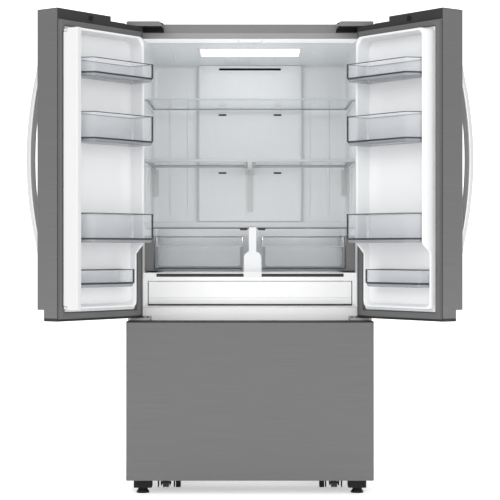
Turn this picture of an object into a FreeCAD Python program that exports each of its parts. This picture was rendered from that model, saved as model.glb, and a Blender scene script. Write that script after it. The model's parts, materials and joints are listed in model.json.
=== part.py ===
import FreeCAD, Part
import math
import os

# French door refrigerator, 36 inch class.
# Every shape is first drawn in the cabinet's own axes: x = 0 on the centre line,
# y = 0 on the cabinet's front plane with +y towards the wall, z = 0 on the floor.
# The origin then moves to the middle of the open refrigerator's footprint, on the floor.

V = FreeCAD.Vector

# ---- driving dimensions, millimetres ----
WIDTH = 908.0
HEIGHT = 1740.0
DEPTH = 745.0
FOOTPRINT_MIDDLE_Y = 143.0
HALF = WIDTH / 2

# sheet and moulding thicknesses, and the gap left between neighbouring pieces
SHEET = 1.0
LINER = 2.0
GAP = 0.4
ROUND_OVER = 6.0

# doors: closed position, right-hand door; the left one is its mirror image
DOOR_ANGLE = 127.5
DOOR_BACK = -14.0
DOOR_THICKNESS = 101.0
DOOR_FRONT = DOOR_BACK - DOOR_THICKNESS
DOOR_EDGE = 3.0
DOOR_CORNER = 9.0
DOOR_TOP = 1742.0
DOOR_SKIN_TOP = 1704.0
DOOR_SKIN_BOTTOM = 659.0
DOOR_BOTTOM = 648.0
CAP_PROUD = 2.0
RECESS_TOP = 687.5
RECESS_DEPTH = 37.0
PANEL_INSET = 30.0

# upper and middle hinges: the pins' axis, and the notch in the door's top that clears the hinge
PIVOT_X = HALF - 18.0
PIVOT_Y = -50.0
PIN_RADIUS = 6.0
PIN_PLAY = 0.3
TOP_PIN_END = DOOR_SKIN_TOP + 0.5
BOTTOM_PIN_END = DOOR_SKIN_BOTTOM - 0.5
NOTCH_DROP = 19.5
NOTCH_START = 280.0
NOTCH_FRONT = DOOR_FRONT + 17.0

# what is on a door's inner side
GASKET_EDGE = DOOR_EDGE + 5.0
GASKET_OUT = 432.0
GASKET_IN = 409.0
GASKET_FRONT = -0.6
LINER_IN = 39.0
LINER_OUT = 400.0
LINER_Z0 = 688.0
LINER_Z1 = 1676.0
DYKE = 13.0
DYKE_HIGH = 58.0
DYKE_LOW = 22.0
BIN_WALL = 3.0
BIN_BACK = 5.0
BIN_REACH = 110.0
SMALL_BIN_REACH = 66.0
SMALL_BIN_OUT = 333.0
UPPER_BINS = [(1515.0, 1570.0), (1286.0, 1381.0)]  # bottom and top height of each bin
LOWER_BINS = [(935.0, 1028.0), (777.0, 829.0)]

# bowed handle on a door's outer side
HANDLE_X = (DOOR_EDGE + 12.0, DOOR_EDGE + 42.0)
HANDLE_Z = (860.0, 1575.0)
HANDLE_OUT = 66.0
HANDLE_THICK = 15.0
HANDLE_FOOT = 46.0

# mullion flap on the left door, drawn turned out as it is when both doors are shut
FLAP_HALF = 36.0
FLAP_THICK = 22.0
FLAP_Z0 = 690.0
FLAP_Z1 = 1669.0
FLAP_AXIS_X = -FLAP_HALF + FLAP_THICK / 2
FLAP_AXIS_Y = FLAP_THICK / 2
FLAP_NOTCH = 12.0
FLAP_PIN = 3.5
GUIDE_DROP = 14.0

# fresh food compartment
FRESH_HALF = 403.0
FRESH_FLOOR = 686.0
FRESH_CEILING_FRONT = 1687.0
FRESH_CEILING_BACK = 1656.0
FRESH_BACK = 640.0
DUCT_FRONT = 612.0
DUCT_HALF = 215.0

# shelves
SHELF_FRONT = 134.0
SHELF_BACK = 596.0
SHELF_HALF = 400.0
TOP_SHELF_Z = 1476.0
MID_SHELF_Z = 1245.0
CRISPER_SHELF_Z = 1004.0
PANE = 4.0
TRIM = 12.0
SHELVES = {
    # name: (x0, x1, top, trim height)
    "top": (-SHELF_HALF, SHELF_HALF, TOP_SHELF_Z, 6.0),
    "left": (-SHELF_HALF, -9.0, MID_SHELF_Z, 11.0),
    "right": (9.0, SHELF_HALF, MID_SHELF_Z, 11.0),
    "crisper": (-SHELF_HALF, SHELF_HALF, CRISPER_SHELF_Z, 18.0),
}

# crispers, the post between them and the deck under them
CRISPER_FRONT = 125.0
CRISPER_BACK = 590.0
CRISPER_BOTTOM = 826.0
CRISPER_LIP = 913.0
CRISPER_RIM = 953.0
CRISPER_RISE = 90.0
CRISPER_OUT_X = 360.0
CRISPER_WALL = 3.5
SUPPORT_X = 10.0
SUPPORT_BASE = 34.0
SUPPORT_NECK = 14.5
RUNNER_BOTTOM = 819.0
DECK_TOP = 812.0

# full-width pantry drawer
PANTRY_FRONT = 80.0
PANTRY_HALF = 385.0
PANTRY_BOTTOM = 692.0
PANTRY_TOP = 779.0

# freezer compartment and its drawer
FREEZER_HALF = 401.0
FREEZER_FLOOR = 84.0
FREEZER_CEILING = 600.0
FREEZER_BACK = 600.0
FRONT_TOP = 636.0
FRONT_BOTTOM = 53.0
FRONT_CORNER = 7.0
RAIL_DEPTH = 12.0
PANEL_RIM = 12.0
BIN_HALF = 372.0
BIN_Z0 = 92.0
BIN_Z1 = 372.0
BIN_Y1 = 405.0
BASKET_TRAVEL = 120.0
BASKET_Y1 = BIN_Y1 - BASKET_TRAVEL
BASKET_Z0 = 430.0
BASKET_HEIGHT = 130.0

# machine compartment at the back, and the chassis under the cabinet
MACHINE_FRONT = 470.0
MACHINE_TOP = 296.0
BASE_TOP = 52.0
BASE_BOTTOM = 38.0
CONDENSER_FAN = V(-150.0, 610.0, 150.0)
EVAPORATOR_FAN = V(0.0, 570.0, 544.0)

# what the refrigerator stands on: legs at the front, rollers behind them and at the back
LEG_X = 397.0
LEG_Y = -38.0
LEG_SCREW = 6.0
PAD_RADIUS = 24.5
ROLLER_WIDTH = 22.0
FRONT_ROLLER_LIFT = 1.5
FRONT_ROLLER = 18.0
REAR_ROLLER = 18.4
AXLE = 4.0
ROLLERS = {
    # name: (x, y, radius, height of the axle); the front pair hangs just clear of the floor
    "front_left_roller": (-317.5, 79.0, FRONT_ROLLER, FRONT_ROLLER + FRONT_ROLLER_LIFT),
    "front_right_roller": (317.5, 79.0, FRONT_ROLLER, FRONT_ROLLER + FRONT_ROLLER_LIFT),
    "rear_left_roller": (-397.0, 690.0, REAR_ROLLER, REAR_ROLLER),
    "rear_right_roller": (397.0, 690.0, REAR_ROLLER, REAR_ROLLER),
}


# ---- helpers ----
def block(x0, x1, y0, y1, z0, z1):
    return Part.makeBox(x1 - x0, y1 - y0, z1 - z0, V(x0, y0, z0))


def polygon_solid(points, direction):
    wire = Part.makePolygon(points + [points[0]])
    return Part.Face(wire).extrude(direction)


def prism_x(outline, x0, x1):
    """Outline of (y, z) points pushed along x."""
    return polygon_solid([V(x0, y, z) for y, z in outline], V(x1 - x0, 0, 0))


def prism_y(outline, y0, y1):
    """Outline of (x, z) points pushed along y."""
    return polygon_solid([V(x, y0, z) for x, z in outline], V(0, y1 - y0, 0))


def prism_z(outline, z0, z1):
    """Outline of (x, y) points pushed along z."""
    return polygon_solid([V(x, y, z0) for x, y in outline], V(0, 0, z1 - z0))


def rod(start, end, radius):
    run = end - start
    return Part.makeCylinder(radius, run.Length, start, run)


def fuse(shapes):
    return shapes[0].multiFuse(shapes[1:]).removeSplitter()


def cut(shape, tools):
    return shape.cut(Part.makeCompound(tools)) if len(tools) > 1 else shape.cut(tools[0])


def mirrored(shape):
    return shape.mirror(V(0, 0, 0), V(1, 0, 0))


def pair(shape):
    """The shape and its mirror image, as separate solids of one piece group."""
    return [shape, mirrored(shape)]


def moved(shape, x=0.0, y=0.0, z=0.0):
    copy = shape.copy()
    copy.translate(V(x, y, z))
    return copy


def edges_along(shape, axis, test=lambda middle: True):
    """Straight edges that run along an axis (0, 1, 2) and whose middle passes the test."""
    chosen = []
    for edge in shape.Edges:
        if len(edge.Vertexes) != 2 or not isinstance(edge.Curve, Part.Line):
            continue
        run = edge.Vertexes[1].Point - edge.Vertexes[0].Point
        if abs(run[axis]) > 0.999 * run.Length and test(edge.CenterOfMass):
            chosen.append(edge)
    return chosen


def rounded(shape, radius, axis, test=lambda middle: True):
    return shape.makeFillet(radius, edges_along(shape, axis, test))


def open_tray(x0, x1, y0, y1, z0, z1, wall):
    """A box with a floor and four walls, open at the top."""
    outer = block(x0, x1, y0, y1, z0, z1)
    return outer.cut(block(x0 + wall, x1 - wall, y0 + wall, y1 - wall, z0 + wall, z1 + wall))


NODES = {}


def add(name, *shapes):
    """Keeps a node, moved from the cabinet's axes to the footprint's."""
    solids = []
    for shape in shapes:
        solids.extend(moved(shape, y=-FOOTPRINT_MIDDLE_Y).Solids)
    NODES[name] = solids


# ---- cabinet ----
def fresh_profile(grow):
    """Side view (y, z) of the fresh food compartment, grown by a wall thickness."""
    return [(0.0, FRESH_FLOOR - grow), (FRESH_BACK + grow, FRESH_FLOOR - grow),
            (FRESH_BACK + grow, FRESH_CEILING_BACK + grow), (0.0, FRESH_CEILING_FRONT + grow)]


def freezer_profile(grow):
    """Side view (y, z) of the freezer, stepped over the machine compartment."""
    wall = 40.0
    step = MACHINE_FRONT - wall + grow
    step_top = MACHINE_TOP + wall - grow
    return [(0.0, FREEZER_FLOOR - grow), (step, FREEZER_FLOOR - grow), (step, step_top),
            (FREEZER_BACK + grow, step_top), (FREEZER_BACK + grow, FREEZER_CEILING + grow),
            (0.0, FREEZER_CEILING + grow)]


def machine_bay():
    """The space at the back for the compressor, open below and behind."""
    side_wall = 22.0
    slope = 60.0
    outline = [(MACHINE_FRONT, BASE_TOP), (DEPTH, BASE_TOP), (DEPTH, MACHINE_TOP),
               (MACHINE_FRONT + slope, MACHINE_TOP), (MACHINE_FRONT, MACHINE_TOP - slope)]
    return prism_x(outline, -HALF + side_wall, HALF - side_wall)


def cabinet_block(shrink, y0, y1):
    """The cabinet's outside, or its inside at a sheet's thickness, with rounded top edges."""
    body = block(-HALF + shrink, HALF - shrink, y0, y1, BASE_TOP, HEIGHT - shrink)
    top = HEIGHT - shrink - 0.1
    return rounded(body, ROUND_OVER - shrink, 1, lambda m: m.z > top)


def cabinet_shell():
    """Bent steel sides and top, with the face frame folded in around both openings."""
    outer = cabinet_block(0.0, 0.0, DEPTH - SHEET)
    inner = fuse([cabinet_block(SHEET, SHEET, DEPTH),
                  block(-HALF + SHEET, HALF - SHEET, SHEET, DEPTH, BASE_TOP - SHEET, BASE_TOP + SHEET)])
    openings = block(-FRESH_HALF - LINER, FRESH_HALF + LINER, -SHEET, 2 * SHEET,
                     FREEZER_FLOOR - LINER, FRESH_CEILING_FRONT + LINER)
    return cut(outer, [inner, openings])


def fresh_food_liner():
    """Moulded liner: sloped ceiling, raised ribs on the back, ledges that carry the shelves."""
    outer = prism_x(fresh_profile(LINER), -FRESH_HALF - LINER, FRESH_HALF + LINER)
    liner = outer.cut(prism_x(fresh_profile(0.0), -FRESH_HALF, FRESH_HALF))
    extra = []
    rib_width = 7.0
    rib_height = 4.0
    for x in (-327.0, -255.0, 245.0, 324.0):
        extra.append(block(x - rib_width / 2, x + rib_width / 2, FRESH_BACK - rib_height,
                           FRESH_BACK + LINER / 2, CRISPER_SHELF_Z + 40.0, FRESH_CEILING_BACK - 70.0))
    ledge = 9.0
    for top, thickness in ((TOP_SHELF_Z, 6.0), (MID_SHELF_Z, 11.0), (CRISPER_SHELF_Z, 18.0)):
        z = top - thickness
        piece = block(FRESH_HALF - ledge, FRESH_HALF + LINER / 2, SHELF_FRONT + 24.0, SHELF_BACK, z - 8.0, z)
        extra.extend(pair(piece))
    return fuse([liner] + extra)


def freezer_liner():
    outer = prism_x(freezer_profile(LINER), -FREEZER_HALF - LINER, FREEZER_HALF + LINER)
    return outer.cut(prism_x(freezer_profile(0.0), -FREEZER_HALF, FREEZER_HALF))


def cabinet_foam():
    """Insulation that fills the walls between the steel and the liners."""
    body = cabinet_block(SHEET, SHEET, DEPTH - SHEET)
    fresh = prism_x(fresh_profile(LINER), -FRESH_HALF - LINER, FRESH_HALF + LINER)
    freezer = prism_x(freezer_profile(LINER), -FREEZER_HALF - LINER, FREEZER_HALF + LINER)
    return cut(body, [fresh, freezer, machine_bay(), rail_body(0.0)])


def back_panel():
    panel = cabinet_block(SHEET, DEPTH - SHEET, DEPTH)
    panel = panel.cut(block(-HALF, HALF, 0, DEPTH + 1.0, 0, MACHINE_TOP + 6.0))
    ribs = []
    rib = 10.0
    for x in (-300.0, -150.0, 0.0, 150.0, 300.0):
        ribs.append(block(x - rib, x + rib, DEPTH - SHEET / 2, DEPTH + 2.0, MACHINE_TOP + 60.0, HEIGHT - 70.0))
    return fuse([panel] + ribs)


def machine_cover():
    """Louvred cover over the machine compartment."""
    y0 = DEPTH - SHEET
    cover = block(-HALF + SHEET + GAP, HALF - SHEET - GAP, y0, DEPTH + 1.0, BASE_TOP, MACHINE_TOP + 5.0)
    slots = []
    slot_height = 6.0
    for column in range(6):
        x = -370.0 + column * 130.0
        for row in range(8):
            z = BASE_TOP + 40.0 + row * 22.0
            slots.append(block(x, x + 90.0, y0 - 1.0, DEPTH + 3.0, z, z + slot_height))
    return cut(cover, slots)


def base_frame():
    """Chassis under the cabinet: two long beams, cross members, leg and roller brackets."""
    pieces = [block(-HALF + 4.0, HALF - 4.0, 2.0, 40.0, BASE_BOTTOM, BASE_TOP - GAP),
              block(-HALF + 4.0, HALF - 4.0, 38.0, 112.0, BASE_TOP - 6.0, BASE_TOP - GAP),
              block(-HALF + 4.0, HALF - 4.0, MACHINE_FRONT - 10.0, DEPTH - 4.0, BASE_TOP - 4.0, BASE_TOP - GAP)]
    for side in (1, -1):
        for x, width in ((372.0, 50.0), (262.0, 14.0)):
            x0, x1 = sorted((side * x, side * (x + width)))
            pieces.append(block(x0, x1, 2.0, DEPTH - 6.0, BASE_BOTTOM, BASE_TOP - GAP))
        # leg bracket, ahead of the front plane
        x0, x1 = sorted((side * (LEG_X - 33.5), side * (LEG_X + 33.5)))
        leg_block = block(x0, x1, LEG_Y - 20.0, 4.0, 19.0, BASE_TOP - GAP)
        leg_block = rounded(leg_block, 8.0, 2, lambda m: m.y < LEG_Y)
        hole = rod(V(side * LEG_X, LEG_Y, 0.0), V(side * LEG_X, LEG_Y, BASE_TOP + 1.0), LEG_SCREW + GAP)
        pieces.append(leg_block.cut(hole))
    for place in ROLLERS.values():
        pieces.extend(roller_bracket(*place))
    frame = fuse(pieces)
    wells = []
    for x, y, radius, z in ROLLERS.values():
        half = ROLLER_WIDTH / 2 + 3.0
        wells.append(block(x - half, x + half, y - radius - 4.0, y + radius + 4.0, 0.0, z + radius + 3.0))
        wells.append(rod(V(x - 30.0, y, z), V(x + 30.0, y, z), AXLE + GAP))
    return cut(frame, wells)


def roller_bracket(x, y, radius, z):
    """Two side plates joined by a top web, around one roller."""
    plates = []
    for side in (1, -1):
        near, far = sorted((x + side * (ROLLER_WIDTH / 2 + 3.0), x + side * (ROLLER_WIDTH / 2 + 7.0)))
        plates.append(block(near, far, y - 24.0, y + 24.0, z - 8.0, BASE_TOP - GAP))
    plates.append(block(x - ROLLER_WIDTH / 2 - 7.0, x + ROLLER_WIDTH / 2 + 7.0, y - 24.0, y + 24.0,
                        z + radius + 3.0, BASE_TOP - GAP))
    return plates


def roller(x, y, radius, z):
    """Grooved wheel with its axle."""
    half = ROLLER_WIDTH / 2
    wheel = rod(V(x - half, y, z), V(x + half, y, z), radius)
    groove = rod(V(x - 2.0, y, z), V(x + 2.0, y, z), radius + 1.0)
    wheel = wheel.cut(groove.cut(rod(V(x - 3.0, y, z), V(x + 3.0, y, z), radius - 1.5)))
    axle = rod(V(x - half - 9.0, y, z), V(x + half + 9.0, y, z), AXLE)
    return fuse([wheel, axle])


def leveling_leg(side):
    """Round pad with a hexagonal collar and a screw that goes up into the bracket."""
    x = side * LEG_X
    pad = Part.makeCone(PAD_RADIUS, PAD_RADIUS - 2.0, 6.0, V(x, LEG_Y, 0.0))
    neck = Part.makeCone(14.0, 11.0, 5.0, V(x, LEG_Y, 6.0))
    corners = [math.radians(60.0 * k) for k in range(6)]
    collar = prism_z([(x + 12.0 * math.cos(a), LEG_Y + 12.0 * math.sin(a)) for a in corners], 10.0, 18.0)
    screw = rod(V(x, LEG_Y, 16.0), V(x, LEG_Y, 46.0), LEG_SCREW)
    return fuse([pad, neck, collar, screw])


def rail_body(shrink):
    """The bar between the two compartments, set flush in the cabinet's front plane."""
    return block(-FRESH_HALF - LINER + shrink, FRESH_HALF + LINER - shrink, shrink, RAIL_DEPTH,
                 FREEZER_CEILING + LINER + shrink, FRESH_FLOOR - LINER - shrink)


def center_rail():
    rail = rail_body(GAP / 2)
    return rounded(rail, 1.5, 0, lambda m: m.y < GAP)


def duct_cover():
    """Raised air duct on the back wall with its outlet slots."""
    duct = block(-DUCT_HALF, DUCT_HALF, DUCT_FRONT, FRESH_BACK - GAP,
                 CRISPER_SHELF_Z + 12.0, FRESH_CEILING_BACK - 2.0)
    duct = rounded(duct, 12.0, 2, lambda m: m.y < DUCT_FRONT + 0.1)
    front, deep = DUCT_FRONT - 1.0, DUCT_FRONT + 8.0
    slots = [block(-128.0, 128.0, front, deep, 1635.0, 1644.0)]
    for z in (1452.0, 1214.0):
        for side in (1, -1):
            x0, x1 = sorted((side * 97.0, side * 129.0))
            slots.append(block(x0, x1, front, deep, z - 3.5, z + 3.5))
    return cut(duct, slots)


def ceiling_line(y):
    """Height of the sloped ceiling at a depth y."""
    fall = FRESH_CEILING_FRONT - FRESH_CEILING_BACK
    return FRESH_CEILING_FRONT - fall * y / FRESH_BACK


def ceiling_light():
    """Long lens let down a little below the ceiling."""
    y0, y1 = 202.0, 358.0
    drop = 9.0
    outline = [(y0, ceiling_line(y0) - GAP), (y1, ceiling_line(y1) - GAP),
               (y1 - 12.0, ceiling_line(y1) - drop), (y0 + 12.0, ceiling_line(y0) - drop)]
    lens = prism_x(outline, -192.0, 192.0)
    return rounded(lens, 3.0, 0, lambda m: m.z < ceiling_line(m.y) - drop + 1.0)


def mullion_guide():
    """Curved track under the ceiling that turns the flap as the left door shuts."""
    top = FRESH_CEILING_FRONT
    foot = top - GUIDE_DROP
    wide, narrow = 48.5, 38.0
    outline = [(-wide, top), (wide, top), (narrow, foot), (-narrow, foot)]
    y0, y1 = 4.0, 58.0
    above = [(0.0, ceiling_line(0.0) - GAP), (y1 + 1.0, ceiling_line(y1 + 1.0) - GAP),
             (y1 + 1.0, top + 1.0), (0.0, top + 1.0)]
    track = Part.makeTorus(24.0, 3.5, V(-8.0, 30.0, foot), V(0, 0, 1))
    return cut(prism_y(outline, y0, y1), [prism_x(above, -60.0, 60.0), track])


def shelf_ladders():
    """Slotted steel strips on the back that carry the half shelves."""
    thickness, pitch = 11.0, 28.0
    top = MID_SHELF_Z - 17.0
    strips = []
    for x, z0, wall in ((0.0, 1055.0, DUCT_FRONT), (-385.0, 1120.0, FRESH_BACK), (385.0, 1120.0, FRESH_BACK)):
        front = wall - thickness
        strip = block(x - 10.0, x + 10.0, front, wall - GAP, z0, top)
        slots = []
        for row in range(int((top - z0) / pitch)):
            z = z0 + pitch / 2 + row * pitch
            slots.append(block(x - 3.0, x + 3.0, front - 1.0, front + 4.0, z, z + 12.0))
        strips.append(cut(strip, slots))
    return strips


# ---- shelves and what stands between the crispers ----


def shelf_pane(name):
    x0, x1, top, _ = SHELVES[name]
    inset = TRIM - 4.0
    return block(x0 + inset, x1 - inset, SHELF_FRONT + inset, SHELF_BACK - inset, top - PANE - 1.0, top - 1.0)


def shelf_frame(name):
    """Trim that grips the pane on its four sides."""
    x0, x1, top, height = SHELVES[name]
    frame = block(x0, x1, SHELF_FRONT, SHELF_BACK, top - height, top)
    frame = rounded(frame, min(2.0, height / 3), 0, lambda m: m.y < SHELF_FRONT + 0.1)
    window = block(x0 + TRIM, x1 - TRIM, SHELF_FRONT + TRIM, SHELF_BACK - TRIM, top - height - 1.0, top + 1.0)
    return cut(frame, [window, shelf_pane(name)])


def crisper_shelf_frame():
    """The lowest shelf's trim, with the dark seal strip and hangers under its front."""
    frame = shelf_frame("crisper")
    bottom = CRISPER_SHELF_Z - SHELVES["crisper"][3]
    strip = block(-SHELF_HALF + 4.0, SHELF_HALF - 4.0, SHELF_FRONT + 3.0, SHELF_FRONT + 14.0,
                  bottom - 6.0, bottom)
    hangers = [block(SUPPORT_X + s * 34.0 - 14.0, SUPPORT_X + s * 34.0 + 14.0, SHELF_FRONT + 4.0,
                     SHELF_FRONT + 30.0, bottom - 12.0, bottom) for s in (1, -1)]
    return fuse([frame, strip] + hangers)


def crisper_center_support():
    """Bottle-shaped post between the crispers, with a thin wall behind it."""
    z0 = DECK_TOP + 1.0
    z1 = CRISPER_SHELF_Z - SHELVES["crisper"][3] - 1.4
    shoulder, neck = 866.0, 892.0
    x = SUPPORT_X

    def side(sign):
        bottom = V(x + sign * SUPPORT_BASE, 0, shoulder)
        top = V(x + sign * SUPPORT_NECK, 0, neck)
        bulge = V(x + sign * (SUPPORT_BASE - 3.0), 0, shoulder + 13.0)
        return Part.Arc(bottom, bulge, top).toShape()

    corners = [V(x + SUPPORT_BASE, 0, shoulder), V(x + SUPPORT_BASE, 0, z0),
               V(x - SUPPORT_BASE, 0, z0), V(x - SUPPORT_BASE, 0, shoulder)]
    top = [V(x - SUPPORT_NECK, 0, neck), V(x - SUPPORT_NECK, 0, z1),
           V(x + SUPPORT_NECK, 0, z1), V(x + SUPPORT_NECK, 0, neck)]
    edges = [Part.makeLine(a, b) for a, b in zip(corners, corners[1:])]
    edges += [side(-1)] + [Part.makeLine(a, b) for a, b in zip(top, top[1:])] + [side(1)]
    face = Part.Face(Part.Wire(Part.__sortEdges__(edges)))
    face.translate(V(0, CRISPER_FRONT, 0))
    post = face.extrude(V(0, 8.0, 0))
    wall = block(x - 4.0, x + 4.0, CRISPER_FRONT + 8.0, SHELF_BACK, z0, 973.0)
    return fuse([post, wall])


def crisper_side_rails():
    """Gray runners on the compartment's side walls, beside each crisper."""
    z0 = RUNNER_BOTTOM
    rail = block(CRISPER_OUT_X + 6.0, FRESH_HALF - GAP, CRISPER_FRONT + 3.0, CRISPER_BACK, z0, CRISPER_RIM)
    rail = rail.cut(block(CRISPER_OUT_X + 12.0, FRESH_HALF, CRISPER_FRONT + 9.0, CRISPER_BACK + 1.0,
                          z0 + 6.0, CRISPER_RIM + 1.0))
    lip = block(CRISPER_OUT_X - 8.0, CRISPER_OUT_X + 7.0, CRISPER_FRONT + 10.0, CRISPER_BACK, z0, z0 + 5.0)
    return pair(fuse([rail, lip]))


def crisper(x0, x1):
    """Produce drawer: low front, side walls that rise behind it."""
    front, back, wall = CRISPER_FRONT, CRISPER_BACK, CRISPER_WALL
    outline = [(front, CRISPER_BOTTOM), (back, CRISPER_BOTTOM), (back, CRISPER_RIM),
               (front + CRISPER_RISE, CRISPER_RIM), (front, CRISPER_LIP)]
    hollow = [(front + wall, CRISPER_BOTTOM + wall), (back - wall, CRISPER_BOTTOM + wall),
              (back - wall, CRISPER_RIM + 30.0), (front + wall, CRISPER_RIM + 30.0)]
    body = prism_x(outline, x0, x1).cut(prism_x(hollow, x0 + wall, x1 - wall))
    lip = block(x0 + 1.0, x1 - 1.0, front + wall - 1.0, front + wall + 9.0,
                CRISPER_LIP - 7.0, CRISPER_LIP - 2.0)
    return fuse([body, lip])


def pantry_cover():
    """Floor under the crispers with the slotted control strip and the frame round the pantry drawer."""
    half = FRESH_HALF - GAP
    y0 = PANTRY_FRONT - 3.0
    depth = 14.0
    apron_bottom = PANTRY_TOP + 2.0
    deck = block(-half, half, y0 + 6.0, SHELF_BACK, DECK_TOP - 7.0, DECK_TOP)
    apron = block(-half, half, y0, y0 + depth, apron_bottom, DECK_TOP)
    apron = rounded(apron, 3.0, 0, lambda m: m.y < y0 + 0.1 and m.z > DECK_TOP - 1.0)
    slot = block(-354.0, 354.0, y0 - 1.0, y0 + 5.0, DECK_TOP - 15.0, DECK_TOP - 3.0)
    pillars = pair(block(PANTRY_HALF + 1.0 + GAP, half, y0, y0 + depth, FRESH_FLOOR + GAP, apron_bottom + 1.0))
    return fuse([apron.cut(slot), deck] + pillars)


def pantry_drawer():
    """Full-width shallow drawer: white front panel and a clear tub behind it."""
    half = PANTRY_HALF
    panel, side_gap = 5.0, 6.0
    front = block(-half, half, PANTRY_FRONT, PANTRY_FRONT + panel, PANTRY_BOTTOM, PANTRY_TOP)
    front = rounded(front, 2.0, 0, lambda m: m.y < PANTRY_FRONT + 0.1)
    step = block(-half - 1.0, half + 1.0, PANTRY_FRONT - 1.0, PANTRY_FRONT + 1.2, PANTRY_BOTTOM - 1.0,
                 PANTRY_BOTTOM + 25.0)
    tub = open_tray(-half + side_gap, half - side_gap, PANTRY_FRONT + panel - 1.0, SHELF_BACK - 8.0,
                    PANTRY_BOTTOM, PANTRY_TOP - 7.0, BIN_WALL)
    return fuse([front.cut(step), tub])


# ---- doors, closed position, right-hand side ----


def door_body(z0, z1, shrink):
    """The door's full thickness between two heights, with rounded front corners."""
    body = block(DOOR_EDGE + shrink, HALF - shrink, DOOR_FRONT + shrink, DOOR_BACK - shrink, z0, z1)
    return rounded(body, DOOR_CORNER - shrink, 2, lambda m: m.y < DOOR_FRONT + shrink + 0.1)


def finger_recess(grow):
    """The outer layer stops short above the drawer, which leaves a hand space."""
    return block(-1.0, HALF + 1.0, DOOR_FRONT - 1.0, DOOR_FRONT + RECESS_DEPTH + grow,
                 DOOR_BOTTOM - 1.0, RECESS_TOP + grow)


def door_skin():
    """Folded steel: front, both sides and the return round the inner panel.

    The front and the free edge run on upwards and hide the top cap.
    """
    z0, z1 = DOOR_SKIN_BOTTOM, DOOR_SKIN_TOP
    lip_top = DOOR_TOP - CAP_PROUD
    outer = door_body(z0, lip_top, 0.0).cut(finger_recess(0.0))
    hollow = door_body(z0 - 1.0, lip_top + 1.0, SHEET).cut(finger_recess(SHEET))
    inset = PANEL_INSET - 5.0
    window = block(DOOR_EDGE + PANEL_INSET, HALF - PANEL_INSET, DOOR_BACK - 2 * SHEET, DOOR_BACK + 1.0,
                   z0 + inset, z1 - inset)
    cap_back = block(DOOR_EDGE + SHEET, HALF + 1.0, DOOR_BACK - SHEET, DOOR_BACK + 1.0, z1, DOOR_TOP)
    hinge_side = block(HALF - SHEET, HALF + 1.0, NOTCH_FRONT, DOOR_BACK + 1.0, z1, DOOR_TOP)
    return cut(outer, [hollow, window, cap_back, hinge_side])


def door_foam():
    """Insulation that fills the folded skin."""
    return door_body(DOOR_SKIN_BOTTOM, DOOR_SKIN_TOP, SHEET).cut(finger_recess(SHEET))


def pin_bore(z0, z1):
    return rod(V(PIVOT_X, PIVOT_Y, z0), V(PIVOT_X, PIVOT_Y, z1), PIN_RADIUS + PIN_PLAY)


def door_end_caps():
    """Moulded caps that close the skin's ends, notched on top for the hinge, with a round plug."""
    top = fuse([door_body(DOOR_SKIN_TOP, DOOR_TOP, SHEET),
                block(DOOR_EDGE + SHEET, HALF, DOOR_BACK - SHEET, DOOR_BACK, DOOR_SKIN_TOP, DOOR_TOP),
                block(HALF - SHEET, HALF, NOTCH_FRONT, DOOR_BACK, DOOR_SKIN_TOP, DOOR_TOP)])
    notch = block(NOTCH_START, HALF + 1.0, NOTCH_FRONT, DOOR_BACK + 1.0, DOOR_TOP - NOTCH_DROP, DOOR_TOP + 1.0)
    plug_x, plug_z = DOOR_EDGE + 171.0, DOOR_TOP - 19.0
    plug = rod(V(plug_x, DOOR_BACK - 3.0, plug_z), V(plug_x, DOOR_BACK + 2.0, plug_z), 9.5)
    top = fuse([cut(top, [notch, pin_bore(DOOR_SKIN_TOP + 0.2, DOOR_TOP + 1.0)]), plug])
    bottom = door_body(DOOR_BOTTOM, DOOR_SKIN_BOTTOM, 0.0).cut(finger_recess(0.0))
    bottom = bottom.cut(pin_bore(DOOR_BOTTOM - 1.0, DOOR_SKIN_BOTTOM - 0.2))
    return [top, bottom]


def door_gasket():
    """Magnetic seal: a hollow rubber frame that nearly fills the gap to the cabinet."""
    z0, z1 = DOOR_SKIN_BOTTOM - 3.0, DOOR_SKIN_TOP - 1.0
    width = GASKET_OUT - GASKET_IN
    y0, y1 = DOOR_BACK + GAP, GASKET_FRONT
    ring = block(GASKET_EDGE, GASKET_OUT, y0, y1, z0, z1)
    return ring.cut(block(GASKET_EDGE + width, GASKET_IN, y0 - 1.0, y1 + 1.0, z0 + width, z1 - width))


def dyke_profile(z0, z1):
    """Side view (y, z) of the dyke: shallow at the bottom, full height above the crispers."""
    low_end, high_start = 887.0, 921.0
    return [(DOOR_BACK, z0), (DOOR_BACK + DYKE_LOW, z0 + 6.0), (DOOR_BACK + DYKE_LOW, low_end),
            (DOOR_BACK + DYKE_HIGH, high_start), (DOOR_BACK + DYKE_HIGH, z1 - 30.0), (DOOR_BACK, z1)]


def door_liner():
    """Inner panel with a raised dyke around the shelf area."""
    y0 = DOOR_BACK
    gasket_width = GASKET_OUT - GASKET_IN
    base = block(GASKET_EDGE + gasket_width + GAP, GASKET_IN - GAP, y0, y0 + LINER + GAP,
                 LINER_Z0 - 8.0, LINER_Z1 + 3.0)
    walls = [prism_x(dyke_profile(LINER_Z0, LINER_Z1), LINER_IN, LINER_IN + DYKE),
             prism_x(dyke_profile(LINER_Z0, LINER_Z1), LINER_OUT - DYKE, LINER_OUT)]
    top_outline = [(y0, LINER_Z1 - 34.0), (y0 + 24.0, LINER_Z1 - 24.0), (y0 + DYKE_HIGH - 4.0, LINER_Z1 - 36.0),
                   (y0 + DYKE_HIGH, LINER_Z1 - 30.0), (y0, LINER_Z1)]
    walls.append(prism_x(top_outline, LINER_IN, LINER_OUT))
    bottom_outline = [(y0, LINER_Z0), (y0 + DYKE_LOW, LINER_Z0 + 6.0), (y0 + DYKE_LOW, LINER_Z0 + 16.0),
                      (y0, LINER_Z0 + 26.0)]
    walls.append(prism_x(bottom_outline, LINER_IN, LINER_OUT))
    return fuse([base] + walls)


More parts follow.
